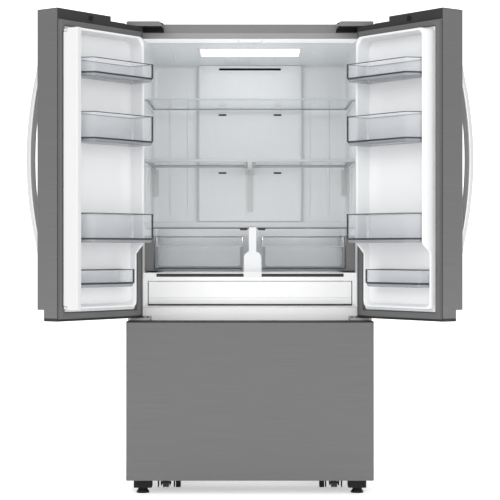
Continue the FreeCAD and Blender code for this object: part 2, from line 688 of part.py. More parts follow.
def flap_brackets():
    """Two bored lugs on the left door's dyke that hold the flap's pins, drawn right-handed."""
    x, y = -FLAP_AXIS_X, FLAP_AXIS_Y
    radius = FLAP_THICK / 2 - 1.0
    low, high = FLAP_Z0 + 3.0, FLAP_Z1 - FLAP_NOTCH + 2.0
    lugs = []
    for z in (low, high):
        lug = fuse([block(x, LINER_IN + DYKE / 2, y - radius, y + radius, z, z + 7.0),
                    rod(V(x, y, z), V(x, y, z + 7.0), radius)])
        lugs.append(lug.cut(rod(V(x, y, z - 1.0), V(x, y, z + 8.0), FLAP_PIN + PIN_PLAY)))
    return lugs


def bin_outline(reach, grow, small):
    """Plan (x, y) of a bin: the corner at the door's free edge is cut off."""
    back = DOOR_BACK + BIN_BACK - grow
    front = DOOR_BACK + reach + grow
    edge = LINER_IN + DYKE + GAP + 1.0 - grow
    if small:
        return [(edge, back), (SMALL_BIN_OUT, back), (SMALL_BIN_OUT, front), (edge, front)]
    far = LINER_OUT - DYKE - GAP + grow - BIN_WALL / 2
    return [(edge, back), (far, back), (far, front), (DOOR_EDGE + 73.0 - grow, front),
            (edge, DOOR_BACK + 62.0 + grow / 2)]


def door_bin(z0, z1, small=False):
    """Clear bin that hangs between the dykes; the small one is shallow and stops short."""
    reach = SMALL_BIN_REACH if small else BIN_REACH
    outer = prism_z(bin_outline(reach, 0.0, small), z0, z1)
    inner = prism_z(bin_outline(reach, -BIN_WALL, small), z0 + BIN_WALL, z1 + 1.0)
    return outer.cut(inner)


def door_handle():
    """Bowed bar whose ends run into the door's face."""
    z0, z1 = HANDLE_Z
    inner_z0, inner_z1 = z0 + HANDLE_FOOT, z1 - HANDLE_FOOT
    middle = (z0 + z1) / 2
    x0, x1 = HANDLE_X
    face = DOOR_FRONT - GAP / 4
    crown = face - HANDLE_OUT
    outer = Part.Arc(V(x0, face, z0), V(x0, crown, middle), V(x0, face, z1)).toShape()
    under = crown + HANDLE_THICK
    inner = Part.Arc(V(x0, face, inner_z0), V(x0, under, middle), V(x0, face, inner_z1)).toShape()
    ends = [Part.makeLine(V(x0, face, z0), V(x0, face, inner_z0)),
            Part.makeLine(V(x0, face, inner_z1), V(x0, face, z1))]
    profile = Part.Face(Part.Wire(Part.__sortEdges__([outer, inner] + ends)))
    return profile.extrude(V(x1 - x0, 0, 0))


def mullion_flap():
    """Heated bar that bridges the doors, drawn shut, then turned a quarter to its folded rest.

    Its hinge edge is round about the pins, so that it rolls clear of the seal behind it.
    """
    axis_at = lambda z: V(FLAP_AXIS_X, FLAP_AXIS_Y, z)
    bar = block(FLAP_AXIS_X, FLAP_HALF, 0.0, FLAP_THICK, FLAP_Z0, FLAP_Z1)
    bar = rounded(bar, 4.0, 2, lambda m: m.x > FLAP_HALF - 0.1)
    flap = fuse([bar, rod(axis_at(FLAP_Z0), axis_at(FLAP_Z1), FLAP_THICK / 2)])
    notch_end = FLAP_AXIS_X + FLAP_THICK / 2 + 2.0
    notches = [block(-FLAP_HALF - 1.0, notch_end, -1.0, FLAP_THICK + 1.0, z, z + FLAP_NOTCH)
               for z in (FLAP_Z0, FLAP_Z1 - FLAP_NOTCH)]
    pins = [rod(axis_at(FLAP_Z0 + 1.0), axis_at(FLAP_Z0 + FLAP_NOTCH + 2.0), FLAP_PIN),
            rod(axis_at(FLAP_Z1 - FLAP_NOTCH - 2.0), axis_at(FLAP_Z1 - 1.0), FLAP_PIN)]
    flap = fuse([cut(flap, notches)] + pins)
    flap.rotate(axis_at(0.0), V(0, 0, 1), 90.0)
    return flap


def opened(shape, side):
    """Swings a closed right-hand piece to the rest angle; side -1 makes the left-hand one."""
    piece = shape.copy()
    piece.rotate(V(PIVOT_X, PIVOT_Y, 0), V(0, 0, 1), DOOR_ANGLE)
    return piece if side > 0 else mirrored(piece)


# ---- hinges ----
def upper_hinges():
    """Steel plate on the cabinet's top with the pin, and the dark housing block round it."""
    plate = block(PIVOT_X - 60.0, PIVOT_X + 14.0, PIVOT_Y - 14.0, 62.0, HEIGHT + GAP / 4, HEIGHT + 5.0)
    pin = rod(V(PIVOT_X, PIVOT_Y, TOP_PIN_END), V(PIVOT_X, PIVOT_Y, HEIGHT + 2.0), PIN_RADIUS)
    low = DOOR_TOP - NOTCH_DROP + 2.0
    high = low + 12.0
    outline = [(322.0, high), (330.0, low), (HALF - 2.0, low), (HALF - 2.0, high)]
    housing = prism_y(outline, PIVOT_Y - 22.0, -3.0)
    tongue = block(PIVOT_X - 60.0, PIVOT_X + 10.0, PIVOT_Y - 10.0, -4.0, high - 2.5, HEIGHT + 2.0)
    return pair(fuse([plate, pin, housing, tongue]))


def hinge_covers():
    """Cover over each upper hinge, slanted at its inner end."""
    top = HEIGHT + 16.0
    bottom = HEIGHT - 2.5
    wall = 2.5
    x0, x1, slant = 320.0, HALF + 1.5, 14.0
    y0, y1 = PIVOT_Y - 25.0, 70.0
    outline = [(x0, bottom), (x1, bottom), (x1, top - 3.0), (x1 - 4.5, top), (x0 + slant, top)]
    inner = [(x0 + 6.0, bottom - 1.0), (x1 - wall, bottom - 1.0), (x1 - wall, top - 3.0),
             (x0 + slant + 4.0, top - 3.0)]
    cover = prism_y(outline, y0, y1).cut(prism_y(inner, y0 + wall, y1 - wall))
    return pair(cover.cut(block(x0 - 1.0, x1 + 1.0, -GAP, y1 + 1.0, bottom - 1.0, HEIGHT + GAP)))


def middle_hinges():
    """Plate between door and drawer: a screwed flange, an arm with lightening holes and the pin."""
    z0, z1 = FRONT_TOP + 2.0, DOOR_BOTTOM - 2.0
    x0, x1 = PIVOT_X - 69.0, PIVOT_X + 10.0
    arm = block(x0, x1, PIVOT_Y - 12.0, -1.9, z0, z1)
    arm = rounded(arm, 8.0, 2, lambda m: m.y < PIVOT_Y)
    hole_y = -28.0
    holes = [rod(V(x, hole_y, z0 - 1.0), V(x, hole_y, z1 + 1.0), 5.0) for x in (x0 + 16.0, x0 + 33.0, x0 + 50.0)]
    flange = block(x0, x1, -4.0, -1.0, z0, z1 + 7.0)
    pin = rod(V(PIVOT_X, PIVOT_Y, z0), V(PIVOT_X, PIVOT_Y, BOTTOM_PIN_END), PIN_RADIUS)
    return pair(fuse([cut(arm, holes), flange, pin]))


# ---- freezer drawer ----


def freezer_front_body(shrink):
    body = block(-HALF + shrink, HALF - shrink, DOOR_FRONT + shrink, DOOR_BACK - shrink,
                 FRONT_BOTTOM + shrink, FRONT_TOP - shrink)
    return rounded(body, FRONT_CORNER - shrink, 2, lambda m: m.y < DOOR_FRONT + shrink + 0.1)


def freezer_front_skin():
    """Folded steel face of the drawer, open at the back inside its return."""
    window = block(-HALF + PANEL_INSET, HALF - PANEL_INSET, DOOR_BACK - 2 * SHEET, DOOR_BACK + 1.0,
                   FRONT_BOTTOM + PANEL_INSET, FRONT_TOP - PANEL_INSET)
    return cut(freezer_front_body(0.0), [freezer_front_body(SHEET), window])


def freezer_front_foam():
    return freezer_front_body(SHEET)


def freezer_front_liner():
    """Inner panel of the drawer front, pressed with a shallow rim."""
    y0 = DOOR_BACK
    half = GASKET_IN - 4.0
    z0, z1 = FRONT_BOTTOM + 33.0, FRONT_TOP - 33.0
    out, edge = 15.0, 27.0
    plate = block(-half, half, y0, y0 + LINER + GAP, z0, z1)
    rim = block(-half + out, half - out, y0, y0 + PANEL_RIM, z0 + out, z1 - out)
    rim = rim.cut(block(-half + edge, half - edge, y0 + LINER, y0 + PANEL_RIM + 1.0, z0 + edge, z1 - edge))
    return fuse([plate, rim])


def freezer_gasket():
    z0, z1 = FRONT_BOTTOM + 4.0, FRONT_TOP - 4.0
    width = 24.0
    y0, y1 = DOOR_BACK + GAP, GASKET_FRONT
    ring = block(-GASKET_OUT, GASKET_OUT, y0, y1, z0, z1)
    return ring.cut(block(-GASKET_IN, GASKET_IN, y0 - 1.0, y1 + 1.0, z0 + width, z1 - width))


def freezer_bin():
    """Deep tub carried on the drawer's slides, with rails on its rims for the basket."""
    y0 = DOOR_BACK + PANEL_RIM + GAP
    tub = open_tray(-BIN_HALF, BIN_HALF, y0, BIN_Y1, BIN_Z0, BIN_Z1, 4.0)
    tub = rounded(tub, 3.0, 2, lambda m: abs(m.x) > BIN_HALF - 0.1)
    rims = pair(block(BIN_HALF - 4.0, BIN_HALF + 10.0, y0, BIN_Y1, BIN_Z1 - 6.0, BIN_Z1))
    return fuse([tub] + rims)


def drawer_slides():
    """Steel slide members that move with the drawer, fixed to its inner panel."""
    y0 = DOOR_BACK + PANEL_RIM + GAP
    member = block(BIN_HALF + 11.0, BIN_HALF + 18.0, y0, BIN_Y1 + 20.0, 180.0, 216.0)
    bracket = block(BIN_HALF + 0.5, BIN_HALF + 12.0, y0 + 10.0, BIN_Y1 - 20.0, 190.0, 206.0)
    return pair(fuse([member, bracket]))


def freezer_rails():
    """Fixed slide members on the freezer's side walls."""
    x0 = BIN_HALF + 19.0
    rail = block(x0, FREEZER_HALF - GAP, 6.0, 426.0, 172.0, 224.0)
    groove = block(x0 - 1.0, x0 + 4.0, 5.0, 427.0, 180.0, 216.0)
    return pair(rail.cut(groove))


def freezer_basket():
    """Shallow upper basket with ribbed walls that slides back on the bin's rims."""
    y0 = DOOR_BACK + PANEL_RIM + GAP
    z0 = BASKET_Z0
    half = BIN_HALF - 6.0
    basket = open_tray(-half, half, y0, BASKET_Y1, z0, z0 + BASKET_HEIGHT, BIN_WALL)
    slots = []
    slot_width, pitch = 22.0, 50.0
    for column in range(14):
        x = -half + 34.0 + column * pitch
        slots.append(block(x, x + slot_width, y0 - 1.0, BASKET_Y1 + 1.0, z0 + 30.0, z0 + BASKET_HEIGHT - 30.0))
    basket = cut(basket, slots)
    runners = pair(block(half - 3.0, half + 8.0, y0, BASKET_Y1, BIN_Z1 + GAP, z0 + 6.0))
    return fuse([basket] + runners)


# ---- refrigeration ----
def compressor():
    """Welded steel can on its base plate, with a suction stub and a terminal box."""
    x, y = 250.0, 610.0
    base = block(x - 95.0, x + 95.0, y - 60.0, y + 60.0, BASE_TOP + GAP, BASE_TOP + 5.0)
    can = Part.makeCylinder(72.0, 120.0, V(x, y, BASE_TOP + 32.0))
    can = can.makeFillet(30.0, [e for e in can.Edges if isinstance(e.Curve, Part.Circle)])
    feet = []
    for sx, sy in ((1, 1), (1, -1), (-1, 1), (-1, -1)):
        feet.append(rod(V(x + sx * 60.0, y + sy * 40.0, BASE_TOP + 4.0),
                        V(x + sx * 45.0, y + sy * 30.0, BASE_TOP + 60.0), 9.0))
    stub = rod(V(x, y, BASE_TOP + 140.0), V(x, y, BASE_TOP + 190.0), 5.0)
    terminal = block(x - 96.0, x - 60.0, y - 22.0, y + 22.0, BASE_TOP + 66.0, BASE_TOP + 126.0)
    return fuse([base, can, stub, terminal] + feet)


def condenser():
    """Tube block with plate fins, beside the fan."""
    x0, x1 = -400.0, -210.0
    y0, y1 = 520.0, 700.0
    z0, z1 = BASE_TOP + GAP, 230.0
    fins = []
    count = 16
    pitch = (x1 - x0) / count
    for k in range(count):
        x = x0 + k * pitch
        fins.append(block(x, x + 2.0, y0, y1, z0, z1))
    tubes = []
    for row in range(4):
        for column in range(4):
            y = y0 + 25.0 + column * 43.0
            z = z0 + 25.0 + row * 42.0
            tubes.append(rod(V(x0, y, z), V(x1, y, z), 5.0))
    return fuse(tubes + fins)


def evaporator():
    """Coil behind the freezer's drawers: long tubes joined by fins."""
    y0, y1 = 540.0, 590.0
    z0, z1 = 346.0, 486.0
    fins = []
    count = 24
    half = 300.0
    for k in range(count + 1):
        x = -half + k * 2 * half / count
        fins.append(block(x - 1.0, x + 1.0, y0, y1, z0, z1))
    tubes = []
    for row in range(4):
        z = z0 + 18.0 + row * 38.0
        for y in (y0 + 13.0, y1 - 13.0):
            tubes.append(rod(V(-half - 10.0, y, z), V(half + 10.0, y, z), 4.5))
    return fuse(tubes + fins)


def fan(center, axis_is_x, radius, depth):
    """Hub with five pitched blades; drawn about x, or turned to face along y."""
    hub = rod(V(-depth / 2, 0, 0), V(depth / 2, 0, 0), 0.28 * radius)
    blades = []
    for k in range(5):
        blade = block(-depth * 0.36, depth * 0.36, -0.30 * radius, 0.30 * radius, 0.2 * radius, radius)
        blade = blade.common(rod(V(-depth, 0, 0), V(depth, 0, 0), radius))
        thin = block(-1.2, 1.2, -radius, radius, 0, radius)
        thin.rotate(V(0, 0, 0), V(0, 0, 1), 38.0)
        blade = blade.common(thin)
        blade.rotate(V(0, 0, 0), V(1, 0, 0), 72.0 * k)
        blades.append(blade)
    shape = fuse([hub] + blades)
    if not axis_is_x:
        shape.rotate(V(0, 0, 0), V(0, 0, 1), 90.0)
    shape.translate(center)
    return shape


def drip_pan():
    """Pan that catches melt water, in the middle of the machine compartment."""
    return open_tray(-90.0, 130.0, 520.0, 700.0, BASE_TOP + GAP, BASE_TOP + 34.0, 2.5)


# ---- all nodes ----
def build():
    add("cabinet_shell", cabinet_shell())
    add("cabinet_foam", cabinet_foam())
    add("back_panel", back_panel())
    add("machine_cover", machine_cover())
    add("base_frame", base_frame())
    add("fresh_food_liner", fresh_food_liner())
    add("freezer_liner", freezer_liner())
    add("center_rail", center_rail())
    add("duct_cover", duct_cover())
    add("ceiling_light", ceiling_light())
    add("mullion_guide", mullion_guide())
    add("shelf_ladders", *shelf_ladders())
    add("shelf_glass", *[shelf_pane(name) for name in SHELVES])
    add("shelf_frames", *[shelf_frame(name) for name in ("top", "left", "right")], crisper_shelf_frame())
    add("crisper_center_support", crisper_center_support())
    add("crisper_side_rails", *crisper_side_rails())
    add("pantry_cover", pantry_cover())
    add("upper_hinges", *upper_hinges())
    add("hinge_covers", *hinge_covers())
    add("middle_hinges", *middle_hinges())
    add("compressor", compressor())
    add("condenser", condenser())
    add("evaporator", evaporator())
    add("drip_pan", drip_pan())
    add("freezer_rails", *freezer_rails())
    add("condenser_fan", fan(CONDENSER_FAN, True, 62.0, 30.0))
    add("evaporator_fan", fan(EVAPORATOR_FAN, False, 46.0, 24.0))
    for side, name in ((-1, "left"), (1, "right")):
        add(name + "_leveling_leg", leveling_leg(side))
        add(name + "_door_skin", opened(door_skin(), side))
        add(name + "_door_foam", opened(door_foam(), side))
        add(name + "_door_end_caps", *[opened(cap, side) for cap in door_end_caps()])
        add(name + "_door_gasket", opened(door_gasket(), side))
        liner = door_liner() if side > 0 else fuse([door_liner()] + flap_brackets())
        add(name + "_door_liner", opened(liner, side))
        add(name + "_door_handle", opened(door_handle(), side))
        add(name + "_door_upper_bins", *[opened(door_bin(*span), side) for span in UPPER_BINS])
        add(name + "_door_lower_bins", opened(door_bin(*LOWER_BINS[0]), side),
            opened(door_bin(*LOWER_BINS[1], small=True), side))
    for name, place in ROLLERS.items():
        add(name, roller(*place))
    add("mullion_flap", opened(mirrored(mullion_flap()), -1))
    add("left_crisper", crisper(-CRISPER_OUT_X, SUPPORT_X - SUPPORT_BASE - 3.0))
    add("right_crisper", crisper(SUPPORT_X + SUPPORT_BASE + 3.0, CRISPER_OUT_X))
    add("pantry_drawer", pantry_drawer())
    add("freezer_front_skin", freezer_front_skin())
    add("freezer_front_foam", freezer_front_foam())
    add("freezer_front_liner", freezer_front_liner())
    add("freezer_gasket", freezer_gasket())
    add("freezer_bin", freezer_bin())
    add("drawer_slides", *drawer_slides())
    add("freezer_basket", freezer_basket())


build()
os.makedirs("parts", exist_ok=True)
for node, solids in NODES.items():
    shape = solids[0] if len(solids) == 1 else Part.makeCompound(solids)
    shape.exportStep("parts/" + node + ".step")
print(len(NODES), "nodes")
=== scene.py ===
import json
import math

import bmesh
import bpy
from mathutils import Matrix, Vector


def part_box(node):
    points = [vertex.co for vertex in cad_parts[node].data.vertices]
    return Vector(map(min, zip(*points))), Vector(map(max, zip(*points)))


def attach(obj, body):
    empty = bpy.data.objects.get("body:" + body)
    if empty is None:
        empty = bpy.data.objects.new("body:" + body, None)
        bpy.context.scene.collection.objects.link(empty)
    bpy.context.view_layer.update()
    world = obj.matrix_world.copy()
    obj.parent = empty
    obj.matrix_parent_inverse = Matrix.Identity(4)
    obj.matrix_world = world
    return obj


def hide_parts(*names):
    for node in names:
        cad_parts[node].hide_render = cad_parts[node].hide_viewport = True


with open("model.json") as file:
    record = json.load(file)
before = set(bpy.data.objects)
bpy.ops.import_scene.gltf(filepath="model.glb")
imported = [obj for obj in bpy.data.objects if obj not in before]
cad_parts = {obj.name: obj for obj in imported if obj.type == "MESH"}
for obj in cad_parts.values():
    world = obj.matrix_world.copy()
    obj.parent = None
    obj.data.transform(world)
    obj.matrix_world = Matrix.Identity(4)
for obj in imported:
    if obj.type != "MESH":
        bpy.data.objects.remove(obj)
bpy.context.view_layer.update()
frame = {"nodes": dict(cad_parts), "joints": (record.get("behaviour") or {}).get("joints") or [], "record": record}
NODES = frame["nodes"]
BODY_OF = {node: body for body, nodes in frame["record"]["behaviour"]["bodies"].items() for node in nodes}
JOINTS = {joint["name"]: joint for joint in frame["joints"]}
SLOT_OF = {part["node"]: part["material_slot"] for part in frame["record"]["subparts"]}
MM = 0.001


# ---- materials ----
class Material:
    """A principled material with short calls for its procedural parts."""

    def __init__(self, name, **values):
        self.made = bpy.data.materials.new(name)
        self.made.use_nodes = True
        self.tree = self.made.node_tree
        self.shader = self.tree.nodes["Principled BSDF"]
        for socket, value in values.items():
            self.shader.inputs[socket.replace("_", " ")].default_value = value

    def node(self, kind, **inputs):
        made = self.tree.nodes.new(kind)
        for socket, value in inputs.items():
            made.inputs[socket.replace("_", " ")].default_value = value
        return made

    def link(self, source, target):
        self.tree.links.new(source, target)

    def noise(self, stretch=(1, 1, 1), scale=10.0, detail=3.0, roughness=0.5):
        """Noise over the object's own coordinates, stretched along its axes."""
        place = self.node("ShaderNodeTexCoord")
        mapping = self.node("ShaderNodeMapping", Scale=stretch)
        texture = self.node("ShaderNodeTexNoise", Scale=scale, Detail=detail, Roughness=roughness)
        self.link(place.outputs["Object"], mapping.inputs["Vector"])
        self.link(mapping.outputs["Vector"], texture.inputs["Vector"])
        return texture.outputs["Fac"]

    def ramp(self, factor, stops):
        made = self.node("ShaderNodeValToRGB")
        made.color_ramp.elements[0].position, made.color_ramp.elements[0].color = stops[0]
        made.color_ramp.elements[1].position, made.color_ramp.elements[1].color = stops[-1]
        for place, colour in stops[1:-1]:
            made.color_ramp.elements.new(place).color = colour
        self.link(factor, made.inputs["Fac"])
        return made.outputs["Color"]

    def spread(self, factor, low, high):
        """Maps a 0-1 factor to a range of values."""
        made = self.node("ShaderNodeMapRange", From_Min=0.3, From_Max=0.7, To_Min=low, To_Max=high)
        self.link(factor, made.inputs["Value"])
        return made.outputs["Result"]

    def colour(self, factor, dark, light):
        stops = [(0.3, (*dark, 1)), (0.7, (*light, 1))]
        self.link(self.ramp(factor, stops), self.shader.inputs["Base Color"])

    def rough(self, factor, low, high):
        self.link(self.spread(factor, low, high), self.shader.inputs["Roughness"])

    def bump(self, height, distance, strength=1.0):
        made = self.node("ShaderNodeBump", Distance=distance, Strength=strength)
        self.link(height, made.inputs["Height"])
        self.link(made.outputs["Normal"], self.shader.inputs["Normal"])


def around(value, spread):
    """Two grays or colours a little either side of a value."""
    colour = value if isinstance(value, tuple) else (value, value, value)
    return tuple(c * (1 - spread) for c in colour), tuple(c * (1 + spread) for c in colour)


def brushed(name, value, roughness, along_z=False, metallic=1.0):
    """Brushed steel: long fine scratches along the sheet's width, with slow cloudy variation."""
    m = Material(name, Metallic=metallic)
    grain = (900.0, 900.0, 4.0) if along_z else (4.0, 4.0, 900.0)
    fine = m.noise(grain, 1.0, 4.0, 0.65)
    m.colour(fine, *around(value, 0.10))
    m.rough(fine, roughness - 0.05, roughness + 0.07)
    m.bump(fine, 0.00004, 0.5)
    return m.made


def plastic(name, value, roughness, grain=0.00004, size=900.0, spread=0.03, **values):
    """Moulded plastic: faint mottling and a fine surface grain."""
    m = Material(name, **values)
    m.colour(m.noise(scale=6.0, detail=4.0), *around(value, spread))
    fine = m.noise(scale=size, detail=2.0)
    m.rough(fine, roughness - 0.04, roughness + 0.05)
    m.bump(fine, grain, 0.6)
    return m.made


def painted(name, value, roughness, metallic=0.0, **values):
    """Sprayed steel with a slight orange-peel surface."""
    m = Material(name, Metallic=metallic, **values)
    m.colour(m.noise(scale=4.0, detail=3.0), *around(value, 0.04))
    peel = m.noise(scale=260.0, detail=2.0)
    m.rough(peel, roughness - 0.04, roughness + 0.06)
    m.bump(peel, 0.00006, 0.5)
    return m.made


def clear(name, value, alpha, roughness=0.06):
    """Clear or smoky plastic and glass, kept thin and see-through."""
    m = Material(name, Alpha=alpha, IOR=1.5)
    m.colour(m.noise(scale=9.0, detail=3.0), *around(value, 0.04))
    wave = m.noise(scale=14.0, detail=1.0)
    m.rough(wave, roughness - 0.02, roughness + 0.04)
    m.bump(wave, 0.0002, 0.25)
    return m.made


def galvanized(name):
    """Zinc coated sheet with its crystal pattern."""
    m = Material(name, Metallic=0.9)
    cells = m.node("ShaderNodeTexVoronoi", Scale=90.0)
    place = m.node("ShaderNodeTexCoord")
    m.link(place.outputs["Object"], cells.inputs["Vector"])
    m.colour(cells.outputs["Distance"], *around(0.46, 0.08))
    m.rough(cells.outputs["Distance"], 0.38, 0.5)
    m.bump(m.noise(scale=120.0), 0.00004, 0.4)
    return m.made


def insulation(name):
    m = Material(name)
    cells = m.noise(scale=350.0, detail=5.0)
    m.colour(cells, (0.62, 0.52, 0.30), (0.80, 0.70, 0.46))
    m.rough(cells, 0.8, 0.95)
    m.bump(cells, 0.0006, 0.8)
    return m.made


def light_lens(name):
    """Frosted lens over the lamps: it glows a little and shows a faint prism pattern."""
    m = Material(name, Emission_Strength=1.0)
    ribs = m.noise((180.0, 1.0, 1.0), 1.0, 1.0)
    m.colour(ribs, (0.90, 0.91, 0.92), (0.98, 0.98, 0.98))
    glow = m.ramp(ribs, [(0.3, (0.92, 0.95, 1.0, 1)), (0.7, (1, 1, 1, 1))])
    m.link(glow, m.shader.inputs["Emission Color"])
    m.rough(ribs, 0.25, 0.4)
    m.bump(ribs, 0.0004, 0.3)
    return m.made


STAINLESS = brushed("brushed_stainless", 0.20, 0.36)
# The doors' stainless made darker for the drawer front: painted shade that offsets the stronger light falling on
# its face.
DRAWER_STEEL_PAINTED_SHADE = brushed("brushed_stainless_drawer_painted_shade", 0.168, 0.37)
HANDLE_STEEL = brushed("handle_satin_steel", 0.72, 0.34, along_z=True, metallic=0.7)
GRAY_PAINT = painted("gray_cabinet_paint", 0.18, 0.45, 0.25)
FLANGE_PAINT = painted("light_gray_flange_paint", 0.27, 0.45)
CAP_PLASTIC = plastic("charcoal_cap_plastic", 0.040, 0.6, 0.00008, 700.0, 0.06, Specular_IOR_Level=0.12)
COVER_PLASTIC = plastic("gray_cover_plastic", 0.17, 0.5, 0.00006)
BLACK_PLASTIC = plastic("black_plastic", 0.012, 0.55, 0.00006, Specular_IOR_Level=0.15)
GASKET = plastic("gasket_rubber", 0.115, 0.6, 0.00005)
WHITE_LINER = plastic("white_liner", (0.83, 0.84, 0.85), 0.3, 0.00003, 500.0, 0.008)
WHITE_PLASTIC = plastic("white_plastic", (0.81, 0.82, 0.83), 0.28, 0.00003, 500.0, 0.008)
# White plastic made brighter than the rest: painted light that lifts the shade on the centre rail, the pan's cover
# and the pantry front.
WHITE_PLASTIC_PAINTED_LIGHT = plastic("white_plastic_brightened_painted_light", 0.97, 0.3, 0.00003, 500.0, 0.008)
# White plastic that glows a little: painted light for the lit front edge of the ceiling, which is no lamp.
BAND_PLASTIC_PAINTED_LIGHT = plastic("white_plastic_glowing_painted_light", 0.95, 0.3, 0.00003, 500.0, 0.008, Emission_Color=(1, 1, 1, 1),
                       Emission_Strength=0.25)
FLAP_PLASTIC = plastic("matt_white_plastic", 0.66, 0.4, 0.00003, 500.0, 0.008)
SHELF_TRIM = plastic("pale_gray_shelf_trim", (0.50, 0.51, 0.52), 0.36, 0.00003)
GRAY_PLASTIC = plastic("gray_runner_plastic", 0.16, 0.45)
SMOKE_TRIM = plastic("smoked_dark_trim", (0.030, 0.032, 0.037), 0.35, 0.00003)
CLEAR_WALL = clear("clear_bin_plastic", (0.72, 0.75, 0.78), 0.20)
SMOKY_FLOOR = clear("smoky_bin_floor", (0.36, 0.37, 0.40), 0.66, 0.2)
CLEAR_GLASS = clear("shelf_glass_pane", (0.78, 0.84, 0.84), 0.24, 0.05)
GLASS_EDGE = clear("green_glass_edge", (0.45, 0.58, 0.56), 0.6, 0.1)
CRISPER_CLEAR = clear("crisper_clear_plastic", (0.74, 0.77, 0.79), 0.14)
CRISPER_TUB = clear("crisper_tub_plastic", (0.76, 0.78, 0.80), 0.32, 0.15)
CRISPER_SMOKE = clear("crisper_smoky_plastic", (0.24, 0.26, 0.28), 0.62, 0.22)
BLACK_METAL = painted("black_enamel", 0.014, 0.5, Specular_IOR_Level=0.2)
ZINC = galvanized("zinc_sheet")
FOAM = insulation("polyurethane_foam")
FINS = brushed("aluminium_fins", 0.7, 0.3, along_z=True)
FAN_PLASTIC = plastic("fan_plastic", 0.04, 0.4)
ROLLER_PLASTIC = plastic("roller_nylon", 0.05, 0.45)
LENS = light_lens("lamp_lens")
RETURN_PAINT = painted("dark_gray_return_paint", 0.088, 0.5, Specular_IOR_Level=0.3)
DARK_STRIP = plastic("dark_gray_strip", 0.036, 0.45, Specular_IOR_Level=0.3)
ZINC_SCREW = brushed("zinc_screw_head", 0.5, 0.35)
FREEZER_BIN = clear("freezer_bin_plastic", (0.70, 0.73, 0.76), 0.5, 0.15)


def dress(material, *nodes):
    """Gives carried-over CAD nodes a finished material."""
    for node in nodes:
        for place in NODES[node].material_slots:
            place.material = material
        for polygon in NODES[node].data.polygons:
            polygon.use_smooth = False


# ---- mesh helpers ----
BEVEL_ANGLE = math.radians(40)
SHARP_ANGLE = math.radians(35)


def linked(name, data):
    """A new object in the scene."""
    made = bpy.data.objects.new(name, data)
    bpy.context.scene.collection.objects.link(made)
    return made


def piece(name, bm, material, body, slot=None, replaces=(), bevel=0.0, segments=2, smooth=True):
    """Makes an object from a bmesh, hangs it on its body and hides the CAD nodes it replaces."""
    bmesh.ops.remove_doubles(bm, verts=bm.verts, dist=1e-6)
    bmesh.ops.recalc_face_normals(bm, faces=bm.faces)
    mesh = bpy.data.meshes.new(name)
    bm.to_mesh(mesh)
    bm.free()
    made = linked(name, mesh)
    mesh.materials.append(material)
    for polygon in mesh.polygons:
        polygon.use_smooth = smooth
    if bevel:
        rounding = made.modifiers.new("rounding", "BEVEL")
        rounding.width = bevel
        rounding.segments = segments
        rounding.limit_method = "ANGLE"
        rounding.angle_limit = BEVEL_ANGLE
    if smooth:
        sharp = made.modifiers.new("normals", "WEIGHTED_NORMAL")
        sharp.keep_sharp = True
        mesh.set_sharp_from_angle(angle=SHARP_ANGLE)
    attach(made, body)
    if replaces:
        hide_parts(*replaces)
    return made


def softened(node, material, radius, segments=2):
    """A copy of a CAD node with its long edges rounded, in place of the node."""
    bm = bmesh.new()
    bm.from_mesh(NODES[node].data)
    bmesh.ops.remove_doubles(bm, verts=bm.verts, dist=2e-6)
    bmesh.ops.dissolve_limit(bm, angle_limit=math.radians(0.6), verts=bm.verts, edges=bm.edges)
    return piece(node + "_moulded", bm, material, BODY_OF[node], SLOT_OF[node], (node,), radius, segments)


def box_mesh(bm, low, high):
    """Adds a box to a bmesh."""
    corners = [bm.verts.new((x, y, z)) for x in (low[0], high[0]) for y in (low[1], high[1])
               for z in (low[2], high[2])]
    for a, b, c, d in ((0, 1, 3, 2), (4, 6, 7, 5), (0, 4, 5, 1), (2, 3, 7, 6), (0, 2, 6, 4), (1, 5, 7, 3)):
        bm.faces.new((corners[a], corners[b], corners[c], corners[d]))


def boxes(*spans):
    """A new bmesh of boxes, each given by its low and high corner."""
    bm = bmesh.new()
    for low, high in spans:
        box_mesh(bm, low, high)
    return bm


def loft(bm, loops, close_first=False, close_last=False, ring=True):
    """Joins loops of 3-D points, all with the same count, into a skin."""
    rows = [[bm.verts.new(p) for p in loop] for loop in loops]
    count = len(rows[0])
    for lower, upper in zip(rows, rows[1:]):
        for k in range(count if ring else count - 1):
            n = (k + 1) % count
            bm.faces.new((lower[k], lower[n], upper[n], upper[k]))
    if close_first:
        bm.faces.new(rows[0])
    if close_last:
        bm.faces.new(rows[-1])


def solid(bm, loops):
    """A closed body through loops of points, capped at both ends."""
    loft(bm, loops, close_first=True, close_last=True)


def rect(x0, x1, y0, y1):
    """Corners of a rectangle, going round from the low one."""
    return [(x0, y0), (x1, y0), (x1, y1), (x0, y1)]


def ring_between(bm, outer, inner, z0, z1):
    """A closed wall between two outlines and two heights."""
    loft(bm, [[(x, y, z) for x, y in plan]
              for plan, z in ((outer, z0), (outer, z1), (inner, z1), (inner, z0), (outer, z0))])


def frame_between(bm, outer, inner, y0, y1):
    """A closed upright frame between two outlines and two depths."""
    loft(bm, [[(x, y, z) for x, z in shape]
              for shape, y in ((outer, y0), (outer, y1), (inner, y1), (inner, y0), (outer, y0))])


def bar_x(bm, section, *ends):
    """A bar along x with one (y, z) section."""
    solid(bm, [[(x, y, z) for y, z in section] for x in ends])


def bar_y(bm, section, *ends):
    """A bar along y with one (x, z) section."""
    solid(bm, [[(x, y, z) for x, z in section] for y in ends])


def circle(a, b, radius):
    """Points of a circle round (a, b)."""
    angles = [math.pi * k / 16 for k in range(32)]
    return [(a + radius * math.cos(angle), b + radius * math.sin(angle)) for angle in angles]


